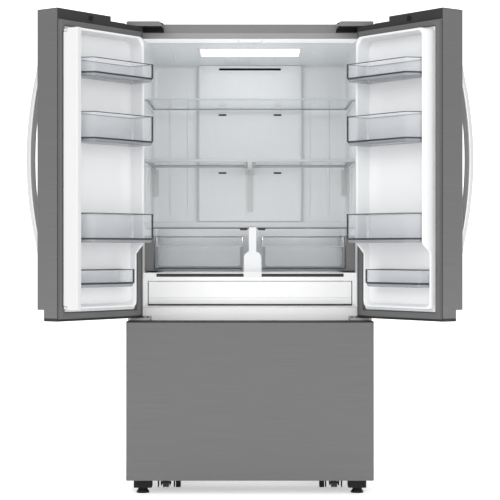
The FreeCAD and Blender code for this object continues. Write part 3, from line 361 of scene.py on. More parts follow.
def rounded_outline(points, radii, steps=6):
    """Rounds the corners of a closed polygon of (a, b) points."""
    made = []
    count = len(points)
    for k, point in enumerate(points):
        here = Vector(point)
        before = Vector(points[k - 1]) - here
        after = Vector(points[(k + 1) % count]) - here
        radius = radii[k] if isinstance(radii, (list, tuple)) else radii
        half = before.angle(after) / 2
        reach = min(radius / math.tan(half), 0.49 * before.length, 0.49 * after.length) if radius else 0.0
        if reach < 1e-7:
            made.append(tuple(here))
            continue
        start = here + before.normalized() * reach
        end = here + after.normalized() * reach
        for step in range(steps + 1):
            t = step / steps
            made.append(tuple(start * (1 - t) ** 2 + here * 2 * t * (1 - t) + end * t ** 2))
    return made


def inset_outline(points, distance):
    """Moves every side of a closed polygon inward by a distance (outward if negative)."""
    area = sum(a[0] * b[1] - b[0] * a[1] for a, b in zip(points, points[1:] + points[:1]))
    turn = 1.0 if area > 0 else -1.0
    made = []
    count = len(points)
    for k in range(count):
        a, b, c = Vector(points[k - 1]), Vector(points[k]), Vector(points[(k + 1) % count])
        u, v = (b - a).normalized(), (c - b).normalized()
        nu, nv = Vector((-u.y, u.x)) * turn, Vector((-v.y, v.x)) * turn
        made.append(tuple(b + (nu + nv) * (distance / max(1e-6, 1 + nu.dot(nv)))))
    return made


# ---- doors ----
# Everything on a door is drawn on the right-hand door when shut, then swung to its open rest;
# the left-hand door is the mirror image.
HINGE = JOINTS["right_door_hinge"]
PIVOT = Vector((HINGE["pos_m"][0], HINGE["pos_m"][1], 0))
OPEN_ANGLE = -math.radians(HINGE["range_deg"][0])
SWING = Matrix.Translation(PIVOT) @ Matrix.Rotation(OPEN_ANGLE, 4, "Z") @ Matrix.Translation(-PIVOT)
SIDES = (("left", -1), ("right", 1))


def shut_points(node):
    """The corners of a right-door node, swung back to where they are when the door is shut."""
    back = SWING.inverted()
    return [back @ v.co for v in NODES[node].data.vertices]


def shut_box(node, low_z=-1e9, high_z=1e9):
    points = [p for p in shut_points(node) if low_z < p.z < high_z]
    return (Vector([min(p[k] for p in points) for k in range(3)]),
            Vector([max(p[k] for p in points) for k in range(3)]))


SKIN_LOW, SKIN_HIGH = shut_box("right_door_skin")
CAPS_LOW, CAPS_HIGH = shut_box("right_door_end_caps")
LINER_LOW, LINER_HIGH = shut_box("right_door_liner")
HANDLE_LOW, HANDLE_HIGH = shut_box("right_door_handle")
DOOR_BACK = SKIN_HIGH.y
CAP_SEAM = shut_box("right_door_end_caps", low_z=1.2)[0].z


def door_piece(name, bm, material, side, **options):
    """Swings a right-hand mesh open, mirrors it for the left, and hangs it on that door."""
    sign = dict(SIDES)[side]
    bmesh.ops.transform(bm, matrix=SWING, verts=bm.verts)
    if sign < 0:
        bmesh.ops.transform(bm, matrix=Matrix.Scale(-1, 4, (1, 0, 0)), verts=bm.verts)
    if "replaces" in options:
        options["replaces"] = [side + "_door_" + node for node in options["replaces"]]
    return piece(side + "_door_" + name, bm, material, side + "_door", **options)


DYKE_HIGH = 58 * MM
DYKE_LOW = 22 * MM
DYKE_STEP_LOW = 887 * MM
DYKE_STEP_HIGH = 921 * MM


def dyke_height(z):
    """How far the dyke stands off the panel: shallow below the crispers' height, deep above."""
    t = min(1.0, max(0.0, (z - DYKE_STEP_LOW) / (DYKE_STEP_HIGH - DYKE_STEP_LOW)))
    return DYKE_LOW + (DYKE_HIGH - DYKE_LOW) * t


DYKE_X_LOW, DYKE_X_HIGH = LINER_LOW.x + 8 * MM, LINER_HIGH.x - 9 * MM
DYKE_Z_LOW, DYKE_Z_HIGH = LINER_LOW.z + 8 * MM, LINER_HIGH.z - 3 * MM


def liner_loop(inset, rise, radius):
    """One level of the panel's dyke: a rounded rectangle inset from the dyke's foot."""
    x0, x1 = DYKE_X_LOW + inset, DYKE_X_HIGH - inset
    z0, z1 = DYKE_Z_LOW + inset, DYKE_Z_HIGH - inset
    corners = list(zip(rect(x0, x1, z0, z1), (radius, radius, radius * 1.3, radius)))
    loop = []
    arc, stations = 8, 60
    for k, (corner, r) in enumerate(corners):
        (ax, az), (bx, bz) = corners[k - 1][0], corner
        (cx, cz) = corners[(k + 1) % 4][0]
        ux, uz = ax - bx, az - bz
        vx, vz = cx - bx, cz - bz
        lu, lv = math.hypot(ux, uz), math.hypot(vx, vz)
        px, pz = bx + ux / lu * r, bz + uz / lu * r
        qx, qz = bx + vx / lv * r, bz + vz / lv * r
        for s in range(arc + 1):
            t = s / arc
            loop.append((px * (1 - t) ** 2 + 2 * bx * t * (1 - t) + qx * t * t,
                         pz * (1 - t) ** 2 + 2 * bz * t * (1 - t) + qz * t * t))
        # points along the straight that follows, so that the dyke can change height
        nr = corners[(k + 1) % 4][1]
        end_x, end_z = cx - vx / lv * nr, cz - vz / lv * nr
        for s in range(1, stations):
            t = s / stations
            loop.append((qx + (end_x - qx) * t, qz + (end_z - qz) * t))
    return [(x, DOOR_BACK + rise(z), z) for x, z in loop]


def door_liner(side):
    """White inner panel: a flat flange and a rounded dyke with a slanted step."""
    def flat(inset, rise, radius):
        return liner_loop(inset * MM, lambda z: rise * MM, radius * MM)

    def dyke(inset, drop, radius):
        return liner_loop(inset * MM, lambda z: dyke_height(z) - drop * MM, radius * MM)

    bm = bmesh.new()
    loft(bm, [flat(-7, 2.4, 12), flat(0, 2.4, 16), flat(1.5, 6, 18), dyke(2, 5, 20), dyke(3.2, 1.6, 22),
              dyke(6, 0, 24), dyke(10, 1.2, 26), dyke(12.5, 5, 27), flat(15, 8, 28), flat(18, 3.2, 28),
              flat(24, 2, 28)], close_last=True)
    door_piece("inner_panel", bm, WHITE_LINER, side, slot="white_liner", replaces=["liner"])


def bin_spans(node):
    """Heights of the two bins of a CAD node, lower first."""
    heights = sorted({round(p.z, 4) for p in shut_points(node)})
    gap = max(range(len(heights) - 1), key=lambda k: heights[k + 1] - heights[k]
              if heights[k + 1] - heights[k] > 0.1 else 0)
    return (heights[0], heights[gap]), (heights[gap + 1], heights[-1])


WALL = 2.6 * MM


def bin_plan(z0, z1, small):
    """Plan of one bin, read back from its CAD solid."""
    node = "right_door_lower_bins" if z1 < 1.1 else "right_door_upper_bins"
    low, high = shut_box(node, z0 - 1e-3, z1 + 1e-3)
    if small:
        return rect(low.x, high.x, low.y, high.y), [3, 4, 10, 10]
    cut_x = SKIN_LOW.x + 73 * MM
    cut_y = DOOR_BACK + 62 * MM
    plan = [(low.x, low.y), (high.x, low.y), (high.x, high.y), (cut_x, high.y), (low.x, cut_y)]
    return plan, [3, 4, 9, 16, 8]


def door_bin(side, label, z0, z1, small=False):
    """Clear bin: thin walls, smoky floor tray, dark line round the foot and up the hinge-side corner."""
    plan, radii = bin_plan(z0, z1, small)
    radii = [r * MM for r in radii]

    def outline(shrink):
        return rounded_outline(inset_outline(plan, shrink), [max(1 * MM, r - shrink) for r in radii])

    inner = outline(WALL)
    tag = label + "_bin"
    bm = bmesh.new()
    ring_between(bm, rounded_outline(plan, radii), inner, z0 + 4 * MM, z1 - 2.5 * MM)
    walls = door_piece(tag + "_walls", bm, CLEAR_WALL, side, slot="clear_plastic", smooth=False)

    bm = bmesh.new()
    solid(bm, [[(x, y, z0 + rise * MM) for x, y in outline(shrink * MM)]
               for shrink, rise in ((0.5, 4.0), (0.2, 2.0), (0.0, -1.0), (3.0, -8.0), (7.0, -11.0))])
    door_piece(tag + "_floor", bm, SMOKY_FLOOR, side, slot="clear_plastic", smooth=False)

    # dark trim: foot band, thin rim band, upright at the hinge-side front corner
    bm = bmesh.new()
    ring_between(bm, outline(-0.8 * MM), inner, z0 - 0.5 * MM, z0 + 5.4 * MM)
    corner_x, corner_y = plan[2]
    box_mesh(bm, (corner_x - 4.4 * MM, corner_y - 5.2 * MM, z0 + 3 * MM),
             (corner_x + 0.7 * MM, corner_y + 0.7 * MM, z1))
    door_piece(tag + "_foot_trim", bm, SMOKE_TRIM, side, slot="dark_plastic", bevel=0.6 * MM)
    bm = bmesh.new()
    ring_between(bm, outline(-0.5 * MM), inner, z1 - 2.6 * MM, z1)
    door_piece(tag + "_rim", bm, SMOKE_TRIM, side, slot="dark_plastic", bevel=0.5 * MM)
    return walls


def bin_lugs(side, spans):
    """Pairs of moulded lugs on the dyke's inner walls that the bins hang on."""
    bm = bmesh.new()
    for z0, z1 in spans:
        top = z0 + 0.35 * (z1 - z0)
        for x, out in ((DYKE_X_LOW + 13 * MM, 1), (DYKE_X_HIGH - 13 * MM, -1)):
            a, b = sorted((x, x + out * 5 * MM))
            box_mesh(bm, (a, DOOR_BACK + 2 * MM, top - 26 * MM), (b, DOOR_BACK + 15 * MM, top))
    door_piece("bin_lugs", bm, WHITE_LINER, side, slot="white_liner", bevel=1.5 * MM)


HANDLE_THICK = 24 * MM
BOW_CHORD = HANDLE_HIGH.z - HANDLE_LOW.z
BOW_SAG = HANDLE_HIGH.y - HANDLE_LOW.y
BOW_RADIUS = (BOW_CHORD ** 2 / 4 + BOW_SAG ** 2) / (2 * BOW_SAG)
BOW_MIDDLE = (HANDLE_LOW.z + HANDLE_HIGH.z) / 2


def handle_path(t):
    """Bow of the handle: height and stand-off of its outer face at t from 0 to 1."""
    half = math.asin(BOW_CHORD / 2 / BOW_RADIUS)
    angle = -half + 2 * half * t
    stand_off = BOW_RADIUS * math.cos(angle) - (BOW_RADIUS - BOW_SAG)
    return BOW_MIDDLE + BOW_RADIUS * math.sin(angle), stand_off, angle


def stand_off_at(z):
    """Stand-off of the bow's outer face at a height."""
    return math.sqrt(max(0.0, BOW_RADIUS ** 2 - (z - BOW_MIDDLE) ** 2)) - (BOW_RADIUS - BOW_SAG)


def door_handle(side):
    """Bowed bar of rounded rectangular section that runs into the door at both ends."""
    bm = bmesh.new()
    x0, x1 = HANDLE_LOW.x, HANDLE_HIGH.x
    face = HANDLE_HIGH.y
    loops = []
    count = 72
    for k in range(count + 1):
        z, off, angle = handle_path(k / count)
        depth = min(HANDLE_THICK, off + 1.0 * MM)
        radii = [min(10 * MM, depth * 0.45)] * 2 + [min(7 * MM, depth * 0.3)] * 2
        section = rounded_outline(rect(x0, x1, 0.0, depth), radii)
        if k in (0, count):
            section = [(x, 0.3 * MM * (y > 0)) for x, y in section]
        loops.append([(x, face - off + y * math.cos(angle), z - y * math.sin(angle)) for x, y in section])
    solid(bm, loops)
    for z_end, sign in ((HANDLE_LOW.z, 1), (HANDLE_HIGH.z, -1)):
        # body that fills the wedge between the bow's end and the door
        rows = []
        for s in range(7):
            t = s / 6
            z = z_end + sign * (8 + 42 * t) * MM
            off = stand_off_at(z) - 2.5 * MM
            near = face - (off * (t - 0.75) * 3.2 if t >= 0.75 else 0.0)
            far = face - max(0.2 * MM, off)
            rows.append([(x, y, z) for x, y in rect(x0 + 3 * MM, x1 - 3 * MM, near, far)])
        solid(bm, rows)
    door_piece("bow_handle", bm, HANDLE_STEEL, side, slot="handle_steel", replaces=["handle"])


def seal_mesh(low, high):
    """Magnetic seal: a cushioned bead on a narrow base, mitred round a door or drawer front."""
    depth = (high.y - low.y) / MM
    profile = [(0.0, 0.0), (0.5, 2.5), (3.0, 4.0), (2.0, 7.5), (2.5, depth - 1.2), (5.0, depth),
               (18.0, depth), (20.5, depth - 1.2), (21.0, 7.5), (20.0, 4.0), (22.5, 2.5), (23.0, 0.0)]
    loops = []
    for inset, rise in profile:
        inset *= MM
        loops.append([(x, low.y + rise * MM, z)
                      for x, z in rect(low.x + inset, high.x - inset, low.z + inset, high.z - inset)])
    bm = bmesh.new()
    loft(bm, loops + [loops[0]])
    return bm


def door_gasket(side):
    bm = seal_mesh(*shut_box("right_door_gasket"))
    door_piece("seal", bm, GASKET, side, slot="gasket_rubber", replaces=["gasket"])


def steel_edge_returns(side):
    """Dark painted return round the inner panel, under the seal."""
    bm = bmesh.new()
    x0, x1 = SKIN_LOW.x + 1.5 * MM, SKIN_HIGH.x - 1.5 * MM
    z0, z1 = SKIN_LOW.z + 0.5 * MM, CAP_SEAM - 0.5 * MM
    width = 28 * MM
    frame_between(bm, rect(x0, x1, z0, z1), rect(x0 + width, x1 - width, z0 + width, z1 - width),
                  DOOR_BACK + 0.05 * MM, DOOR_BACK + 0.25 * MM)
    door_piece("return_band", bm, RETURN_PAINT, side, slot="gray_paint")


def end_caps(side):
    """Charcoal caps, copied from the CAD solids with softened edges, and a plug in the top one."""
    softened(side + "_door_end_caps", CAP_PLASTIC, 1.6 * MM, 3)
    x, z = CAPS_LOW.x + 171 * MM, CAPS_HIGH.z - 19 * MM
    bm = bmesh.new()
    solid(bm, [[(a, DOOR_BACK + h * MM, b) for a, b in circle(x, z, r * MM)]
               for r, h in ((10.4, 0.5), (10.4, 2.5), (9.6, 3.1), (7.4, 3.1), (6.8, 2.2))])
    door_piece("cap_plug", bm, BLACK_PLASTIC, side, slot="dark_plastic")


def make_door(side):
    door_liner(side)
    door_gasket(side)
    steel_edge_returns(side)
    end_caps(side)
    door_handle(side)
    spans = []
    for node in ("right_door_upper_bins", "right_door_lower_bins"):
        below, above = bin_spans(node)
        spans += [above, below]
    walls = [door_bin(side, "shelf_%d" % number, z0, z1, small=(number == len(spans)))
             for number, (z0, z1) in enumerate(spans, 1)]
    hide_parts(side + "_door_upper_bins")
    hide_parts(side + "_door_lower_bins")
    bin_lugs(side, spans)
    dress(STAINLESS, side + "_door_skin")
    dress(FOAM, side + "_door_foam")


# ---- cabinet ----
SHELL_LOW, SHELL_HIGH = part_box("cabinet_shell")
FRONT = SHELL_LOW.y
FRESH_LOW, FRESH_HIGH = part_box("fresh_food_liner")
WALL_THICK = 2 * MM
CEILING_FALL = 31 * MM
DRAW_IN = 2.2 * MM
# in millimetres: heights of the ledges' tops, and both sides and the top of each glass pane
LEDGE_TOPS = (1470, 1234, 986)
SHELF_PANES = ((-400, 400, 1476), (-400, -9, 1245), (9, 400, 1245), (-400, 400, 1004))


def fresh_food_liner():
    """Moulded compartment with rounded corners and a sloping ceiling."""
    x0, x1 = FRESH_LOW.x + WALL_THICK, FRESH_HIGH.x - WALL_THICK
    z0, z1 = FRESH_LOW.z + WALL_THICK, FRESH_HIGH.z - WALL_THICK
    back = FRESH_HIGH.y - WALL_THICK
    depth = back - FRONT

    def level(y, inset, radius, out=0.0):
        inset, radius = inset * MM, radius * MM
        top = z1 - CEILING_FALL * (y - FRONT) / depth - inset
        outline = rect(x0 + inset - out, x1 - inset + out, z0 + inset - out, top + out)
        return [(x, y, z) for x, z in rounded_outline(outline, radius + out, 8)]

    bm = bmesh.new()
    draw = DRAW_IN / MM
    solid(bm, [level(back + WALL_THICK, 30, 24), level(back + WALL_THICK * 0.9, 2, 24, WALL_THICK),
               level(FRONT + 1 * MM, 0, 6, WALL_THICK), level(FRONT - 0.3 * MM, 0, 6, WALL_THICK * 0.6),
               level(FRONT - 0.4 * MM, 0, 6), level(FRONT + 2 * MM, 0.6, 8), level(FRONT + 30 * MM, 1, 14),
               level(FRONT + 32 * MM, draw, 16), level(back - 26 * MM, draw, 24),
               level(back - 10 * MM, 6, 26), level(back - 2 * MM, 14, 28), level(back, 26, 28)])
    piece("fresh_food_compartment", bm, WHITE_LINER, "cabinet", "white_liner", ("fresh_food_liner",))


def back_wall_ribs():
    """Long raised ribs pressed into the back and side walls and the ceiling."""
    bm = bmesh.new()
    back = FRESH_HIGH.y - WALL_THICK
    foot = 1.03
    for x in (-327, -255, 245, 324):
        rib_bar(bm, Vector((x * MM, back, foot)), Vector((x * MM, back, 1.56)),
                Vector((1, 0, 0)), Vector((0, -1, 0)), 9 * MM, 4 * MM)
    side = FRESH_HIGH.x - WALL_THICK - DRAW_IN
    for y in (230, 420):
        for sign in (-1, 1):
            x = sign * side
            rib_bar(bm, Vector((x, FRONT + y * MM, foot)), Vector((x, FRONT + y * MM, 1.44)),
                    Vector((0, 1, 0)), Vector((-sign, 0, 0)), 12 * MM, 2.5 * MM)
    for x in (-300, -100, 0, 100, 300):
        y0, y1 = (380, 596) if abs(x) < 200 else (120, 560)
        start = Vector((x * MM, FRONT + y0 * MM, ceiling(FRONT + y0 * MM)))
        end = Vector((x * MM, FRONT + y1 * MM, ceiling(FRONT + y1 * MM)))
        rib_bar(bm, start, end, Vector((1, 0, 0)), Vector((0, 0, -1)), 6 * MM, 1.8 * MM)
    piece("liner_ribs", bm, WHITE_LINER, "cabinet", "white_liner")


def ceiling(y):
    """Height of the liner's ceiling at a depth."""
    depth = FRESH_HIGH.y - WALL_THICK - FRONT
    return FRESH_HIGH.z - WALL_THICK - CEILING_FALL * (y - FRONT) / depth - DRAW_IN


def rib_bar(bm, start, end, across, out, width, height):
    """A low bar with a rounded top, laid from start to end on a wall."""
    loops = []
    steps, count = 8, 10
    for k in range(count + 1):
        t = k / count
        ease = min(1.0, min(t, 1 - t) * 12)
        section = []
        for s in range(steps + 1):
            a = math.pi * s / steps
            section.append(start + (end - start) * t + across * (math.cos(a) * width / 2 * (0.5 + 0.5 * ease))
                           + out * (math.sin(a) * height * ease - 0.3 * MM))
        section.append(start + (end - start) * t - across * width / 2 - out * 1 * MM)
        section.append(start + (end - start) * t + across * width / 2 - out * 1 * MM)
        loops.append([tuple(p) for p in section])
    solid(bm, loops)


def shelf_ledges():
    """Moulded ledges along the side walls that carry each shelf."""
    bm = bmesh.new()
    wall = FRESH_HIGH.x - WALL_THICK
    for top in LEDGE_TOPS:
        for sign in (-1, 1):
            a, b = sorted((sign * (wall - 9 * MM), sign * (wall + 0.5 * MM)))
            box_mesh(bm, (a, FRONT + 158 * MM, (top - 9) * MM), (b, FRONT + 594 * MM, (top - 0.5) * MM))
    piece("shelf_ledges", bm, WHITE_LINER, "cabinet", "white_liner", bevel=3 * MM, segments=3)


def duct_details():
    """Dark louvres inside the duct's outlets."""
    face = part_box("duct_cover")[0].y
    bm = boxes(((-126.5 * MM, face + 0.6 * MM, 1635.6 * MM), (126.5 * MM, face + 7.6 * MM, 1643.4 * MM)))
    for z in (1452, 1214):
        for x in (-113, 113):
            box_mesh(bm, ((x - 15.4) * MM, face + 0.4 * MM, (z - 3) * MM),
                     ((x + 15.4) * MM, face + 7.6 * MM, (z + 3) * MM))
    piece("duct_outlet_grilles", bm, BLACK_PLASTIC, "cabinet", "dark_plastic", bevel=0.5 * MM)
    softened("duct_cover", WHITE_PLASTIC, 5 * MM, 3)


def top_flange():
    """Pale painted strip over the compartment's mouth."""
    x = SHELL_HIGH.x - 48 * MM
    y0, y1 = FRONT - 0.5 * MM, FRONT - 0.05 * MM
    bm = boxes(((-x, y0, FRESH_HIGH.z - 3.0 * MM), (x, y1, 1707 * MM)))
    piece("mouth_flange", bm, FLANGE_PAINT, "cabinet", "gray_paint", bevel=0.15 * MM)


def ceiling_band():
    """White band pressed into the ceiling just inside the mouth, made to glow as painted light where the ceiling's
    front edge catches the light.
    """
    near, far = FRONT + 4 * MM, FRONT + 72 * MM
    profile = [(y, ceiling(y) + rise * MM)
               for y, rise in ((near, 0.5), (far, 0.5), (far, -0.8), (near, -0.8))]
    half = FRESH_HIGH.x - 9 * MM
    bm = bmesh.new()
    bar_x(bm, profile, -half, half)
    # the band's glow is painted light
    piece("ceiling_band", bm, BAND_PLASTIC_PAINTED_LIGHT, "cabinet", "white_liner", bevel=0.3 * MM)


def lamp():
    """Ceiling light with a white bezel round its lens, and the mullion's guide."""
    softened("ceiling_light", LENS, 1.5 * MM)
    low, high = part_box("ceiling_light")
    plan = rect(low.x, high.x, low.y, high.y)
    outer = rounded_outline(inset_outline(plan, -7 * MM), 10 * MM)
    inner = rounded_outline(inset_outline(plan, 1 * MM), 4 * MM)
    bm = bmesh.new()
    loft(bm, [[(x, y, ceiling(y) + rise * MM) for x, y in ring]
              for ring, rise in ((outer, -3), (outer, 2), (inner, 2), (inner, -3.4), (outer, -3))])
    piece("lamp_bezel", bm, WHITE_PLASTIC, "cabinet", "white_plastic")
    softened("mullion_guide", WHITE_PLASTIC, 1.5 * MM)


def shelves():
    """Glass panes in pale trims; every pane shows a green edge behind its front trim."""
    for place in NODES["shelf_glass"].material_slots:
        place.material = CLEAR_GLASS
    softened("shelf_frames", SHELF_TRIM, 1.2 * MM)
    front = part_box("shelf_frames")[0].y
    bm = bmesh.new()
    for x0, x1, top in SHELF_PANES:
        box_mesh(bm, ((x0 + 12.5) * MM, front + 12.2 * MM, (top - 4.9) * MM),
                 ((x1 - 12.5) * MM, front + 13.2 * MM, (top - 1.1) * MM))
    piece("pane_edges", bm, GLASS_EDGE, "cabinet", "shelf_glass", smooth=False)
    # dark seal line under the crisper shelf, with two blocks below it
    seal_foot = 979.6 * MM
    bm = boxes(((-396 * MM, front + 2.4 * MM, seal_foot), (396 * MM, front + 14.4 * MM, 983.5 * MM)))
    for x in (-24, 44):
        box_mesh(bm, ((x - 14.3) * MM, front + 3.6 * MM, seal_foot - 6 * MM),
                 ((x + 14.3) * MM, front + 30.4 * MM, seal_foot))
    piece("crisper_shelf_seal", bm, SMOKE_TRIM, "cabinet", "dark_plastic", bevel=0.8 * MM)


def half_shelf_brackets():
    """Cantilever arms under the half shelves that hook into the ladders."""
    bm = bmesh.new()
    for x in (-16, 16, -386, 386):
        outline = [(500, 1233), (594, 1233), (594, 1204), (574, 1206), (520, 1229)]
        ring = rounded_outline([(FRONT + y * MM, z * MM) for y, z in outline], 4 * MM)
        bar_x(bm, ring, (x - 1.2) * MM, (x + 1.2) * MM)
    piece("half_shelf_arms", bm, SHELF_TRIM, "cabinet", "white_plastic", bevel=0.5 * MM)


def crisper(side):
    """Crisper drawer: clear front with a pale lip, smoky frame, clear tub, dark foot and rim."""
    node = side + "_crisper"
    low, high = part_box(node)
    rise, lip = 90 * MM, 913 * MM
    wall = 3 * MM

    def part(name, bm, material, slot="clear_plastic", **options):
        piece(node + "_" + name, bm, material, BODY_OF[node], slot, **options)

    # tub: sides with a slanted front edge, back and floor
    bm = bmesh.new()
    near, foot = low.y + 2 * MM, low.z + 3 * MM
    outline = [(near, foot), (high.y, foot), (high.y, high.z), (low.y + rise, high.z), (near, lip)]
    ring = rounded_outline(outline, [6 * MM, 6 * MM, 4 * MM, 30 * MM, 4 * MM])
    for x0, x1 in ((low.x, low.x + wall), (high.x - wall, high.x)):
        bar_x(bm, ring, x0, x1)
    part("sides", bm, CRISPER_TUB, replaces=(node,), smooth=False)
    part("floor", boxes(
        ((low.x + wall, high.y - wall, low.z + 3 * MM), (high.x - wall, high.y, high.z)),
        ((low.x + wall, low.y + 4 * MM, low.z + 1 * MM), (high.x - wall, high.y - wall, low.z + 4 * MM)),
    ), CRISPER_TUB, smooth=False)

    # clear front pane with rounded lower corners
    bm = bmesh.new()
    radii = [14 * MM, 14 * MM, 1 * MM, 1 * MM]
    ring = rounded_outline(rect(low.x + 10 * MM, high.x - 10 * MM, low.z + 9 * MM, lip), radii)
    bar_y(bm, ring, low.y + 0.6 * MM, low.y + 3 * MM)
    part("pane", bm, CRISPER_CLEAR, smooth=False)

    # frame round the pane, dark foot, pale lip and dark rim
    bm = bmesh.new()
    outer = rounded_outline(rect(low.x, high.x, low.z, lip), [8 * MM, 8 * MM, 1 * MM, 1 * MM])
    inner = rounded_outline(rect(low.x + 11 * MM, high.x - 11 * MM, low.z + 10 * MM, lip - 0.2 * MM), radii)
    frame_between(bm, outer, inner, low.y, low.y + 7 * MM)
    part("front_frame", bm, CRISPER_SMOKE, smooth=False)
    part("foot", boxes(((low.x + 3 * MM, low.y - 0.4 * MM, low.z - 0.5 * MM),
                        (high.x - 3 * MM, low.y + 8 * MM, low.z + 5 * MM))),
         SMOKE_TRIM, "dark_plastic", bevel=1.2 * MM)
    part("lip", boxes(((low.x + 1 * MM, low.y - 0.2 * MM, lip - 2.6 * MM),
                       (high.x - 1 * MM, low.y + 10 * MM, lip + 0.4 * MM))), SHELF_TRIM, bevel=1.0 * MM)
    z0, z1 = high.z - 3 * MM, high.z + 0.3 * MM
    part("rim", boxes(((low.x - 0.3 * MM, low.y + rise, z0), (low.x + 4 * MM, high.y, z1)),
                      ((high.x - 4 * MM, low.y + rise, z0), (high.x + 0.3 * MM, high.y, z1)),
                      ((low.x, high.y - 4 * MM, z0), (high.x, high.y + 0.2 * MM, z1))),
         SMOKE_TRIM, "dark_plastic", bevel=0.8 * MM)


def crisper_surround():
    """Post between the crispers with its foot, their runners, and the pan's cover with its strip."""
    softened("crisper_center_support", WHITE_PLASTIC, 1.6 * MM, 3)
    softened("crisper_side_rails", GRAY_PLASTIC, 1.5 * MM)
    # the pan's cover is brightened white, as painted light over its shade
    softened("pantry_cover", WHITE_PLASTIC_PAINTED_LIGHT, 1.5 * MM)
    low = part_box("pantry_cover")[0]
    post_low, post_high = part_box("crisper_center_support")
    foot = boxes(((post_low.x, low.y - 2.4 * MM, 795.4 * MM),
                  (post_high.x, low.y + 4 * MM, post_low.z + 3 * MM)))
    piece("center_support_foot", foot, WHITE_PLASTIC, "cabinet", "white_plastic", bevel=1.6 * MM, segments=3)
    bm = boxes(((-353.4 * MM, low.y - 0.2 * MM, 796.4 * MM), (353.4 * MM, low.y + 5 * MM, 809.4 * MM)))
    piece("pantry_control_strip", bm, DARK_STRIP, "cabinet", "dark_plastic", bevel=0.8 * MM)


def pantry():
    """Stepped white front, brightened as painted light, with a clear tub behind it, and black strips that paint
    the shadow in the gaps round the front.
    """
    low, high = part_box("pantry_drawer")
    body = BODY_OF["pantry_drawer"]
    half = high.x - 1.6 * MM
    step = low.z + 25 * MM
    foot = low.z + 1.6 * MM
    profile = [(1.4, foot), (5, foot), (5, high.z), (0, high.z), (0, step + 1.5 * MM),
               (2.8, step + 0.8 * MM), (2.8, step - 0.8 * MM), (1.4, step - 1.6 * MM)]
    bm = bmesh.new()
    bar_x(bm, [(low.y + y * MM, z) for y, z in profile], -half, half)
    piece("pantry_front", bm, WHITE_PLASTIC_PAINTED_LIGHT, body, "white_plastic", ("pantry_drawer",), 1.2 * MM, 3)
    tub_half = high.x - 6 * MM
    rim = high.z - 7 * MM
    wall = 3 * MM
    outer = rounded_outline(rect(-tub_half, tub_half, low.y + 4 * MM, high.y), 14 * MM)
    inner = rounded_outline(rect(-tub_half + wall, tub_half - wall, low.y + 7 * MM, high.y - wall), 12 * MM)
    bm = bmesh.new()
    solid(bm, [[(x, y, z) for x, y in ring]
               for ring, z in ((inner, low.z + wall), (inner, rim), (outer, rim), (outer, low.z + 0.5 * MM))])
    piece("pantry_tub", bm, CRISPER_TUB, body, "clear_plastic", smooth=False)
    floor_z = FRESH_LOW.z + WALL_THICK
    # black strips on the floor and beside the front: painted shadow in the gaps round the pantry front, not a real
    # seal
    bm = boxes(((-high.x, low.y - 16 * MM, floor_z + 0.2 * MM), (high.x, low.y + 14 * MM, floor_z + 3 * MM)))
    for sign in (-1, 1):
        a, b = sorted((sign * (high.x - 5.6 * MM), sign * (high.x + 1.2 * MM)))
        box_mesh(bm, (a, low.y + 5.6 * MM, low.z - 0.4 * MM), (b, low.y + 12 * MM, high.z))
    piece("pantry_gap_painted_shadow", bm, BLACK_PLASTIC, "cabinet", "dark_plastic", bevel=0.5 * MM)


COVER_FRONT_DROP = 14.5 * MM
COVER_REAR_DROP = 6 * MM
COVER_FLOOR_DROP = 14 * MM


def sloping_covers():
    """Hinge covers whose top slopes down to the front, over hinge plates that slope with them."""
    cover = softened("hinge_covers", COVER_PLASTIC, 1.2 * MM, 3)
    top, overhang = SHELL_HIGH.z + 5 * MM, FRONT - 0.1 * MM
    for v in cover.data.vertices:
        if v.co.z > top:
            v.co.z -= COVER_FRONT_DROP if v.co.y < FRONT else COVER_REAR_DROP
        elif v.co.y < overhang and v.co.z < SHELL_HIGH.z:
            v.co.z -= COVER_FLOOR_DROP
    plates = softened("upper_hinges", BLACK_METAL, 0.3 * MM)
    for v in plates.data.vertices:
        if v.co.y < FRONT - 1 * MM and v.co.z > SHELL_HIGH.z - 2 * MM:
            v.co.z -= COVER_FLOOR_DROP


def hinge_shrouds():
    """Black plates on the cabinet's front under the hinge covers, slanted at their inner ends."""
    bm = bmesh.new()
    low_z, high_z = SHELL_HIGH.z - 31.5 * MM, SHELL_HIGH.z - 2 * MM
    for sign in (-1, 1):
        outline = [(sign * x * MM, z) for x, z in ((320, low_z), (448, low_z), (448, high_z), (325, high_z))]
        bar_y(bm, outline, FRONT - 3.6 * MM, FRONT - 0.4 * MM)
    piece("hinge_shrouds", bm, BLACK_PLASTIC, "cabinet", "dark_plastic", bevel=1.0 * MM)


def hinges():
    """Upper hinges with their covers, shrouds and screws, and the middle hinges."""
    sloping_covers()
    hinge_shrouds()
    dress(ZINC, "middle_hinges")
    middle_hinge_plates()
    bm = bmesh.new()
    low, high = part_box("hinge_covers")
    y = FRONT + 40 * MM
    along = (y - low.y) / (high.y - low.y)
    top = high.z - COVER_FRONT_DROP + (COVER_FRONT_DROP - COVER_REAR_DROP) * along
    for sign in (-1, 1):
        for x in (430, 350):
            screw(bm, Vector((sign * x * MM, y, top - 0.4 * MM)), Vector((0, 0, 1)), 4.2 * MM)
    piece("hinge_cover_screws", bm, BLACK_METAL, "cabinet", "black_metal")


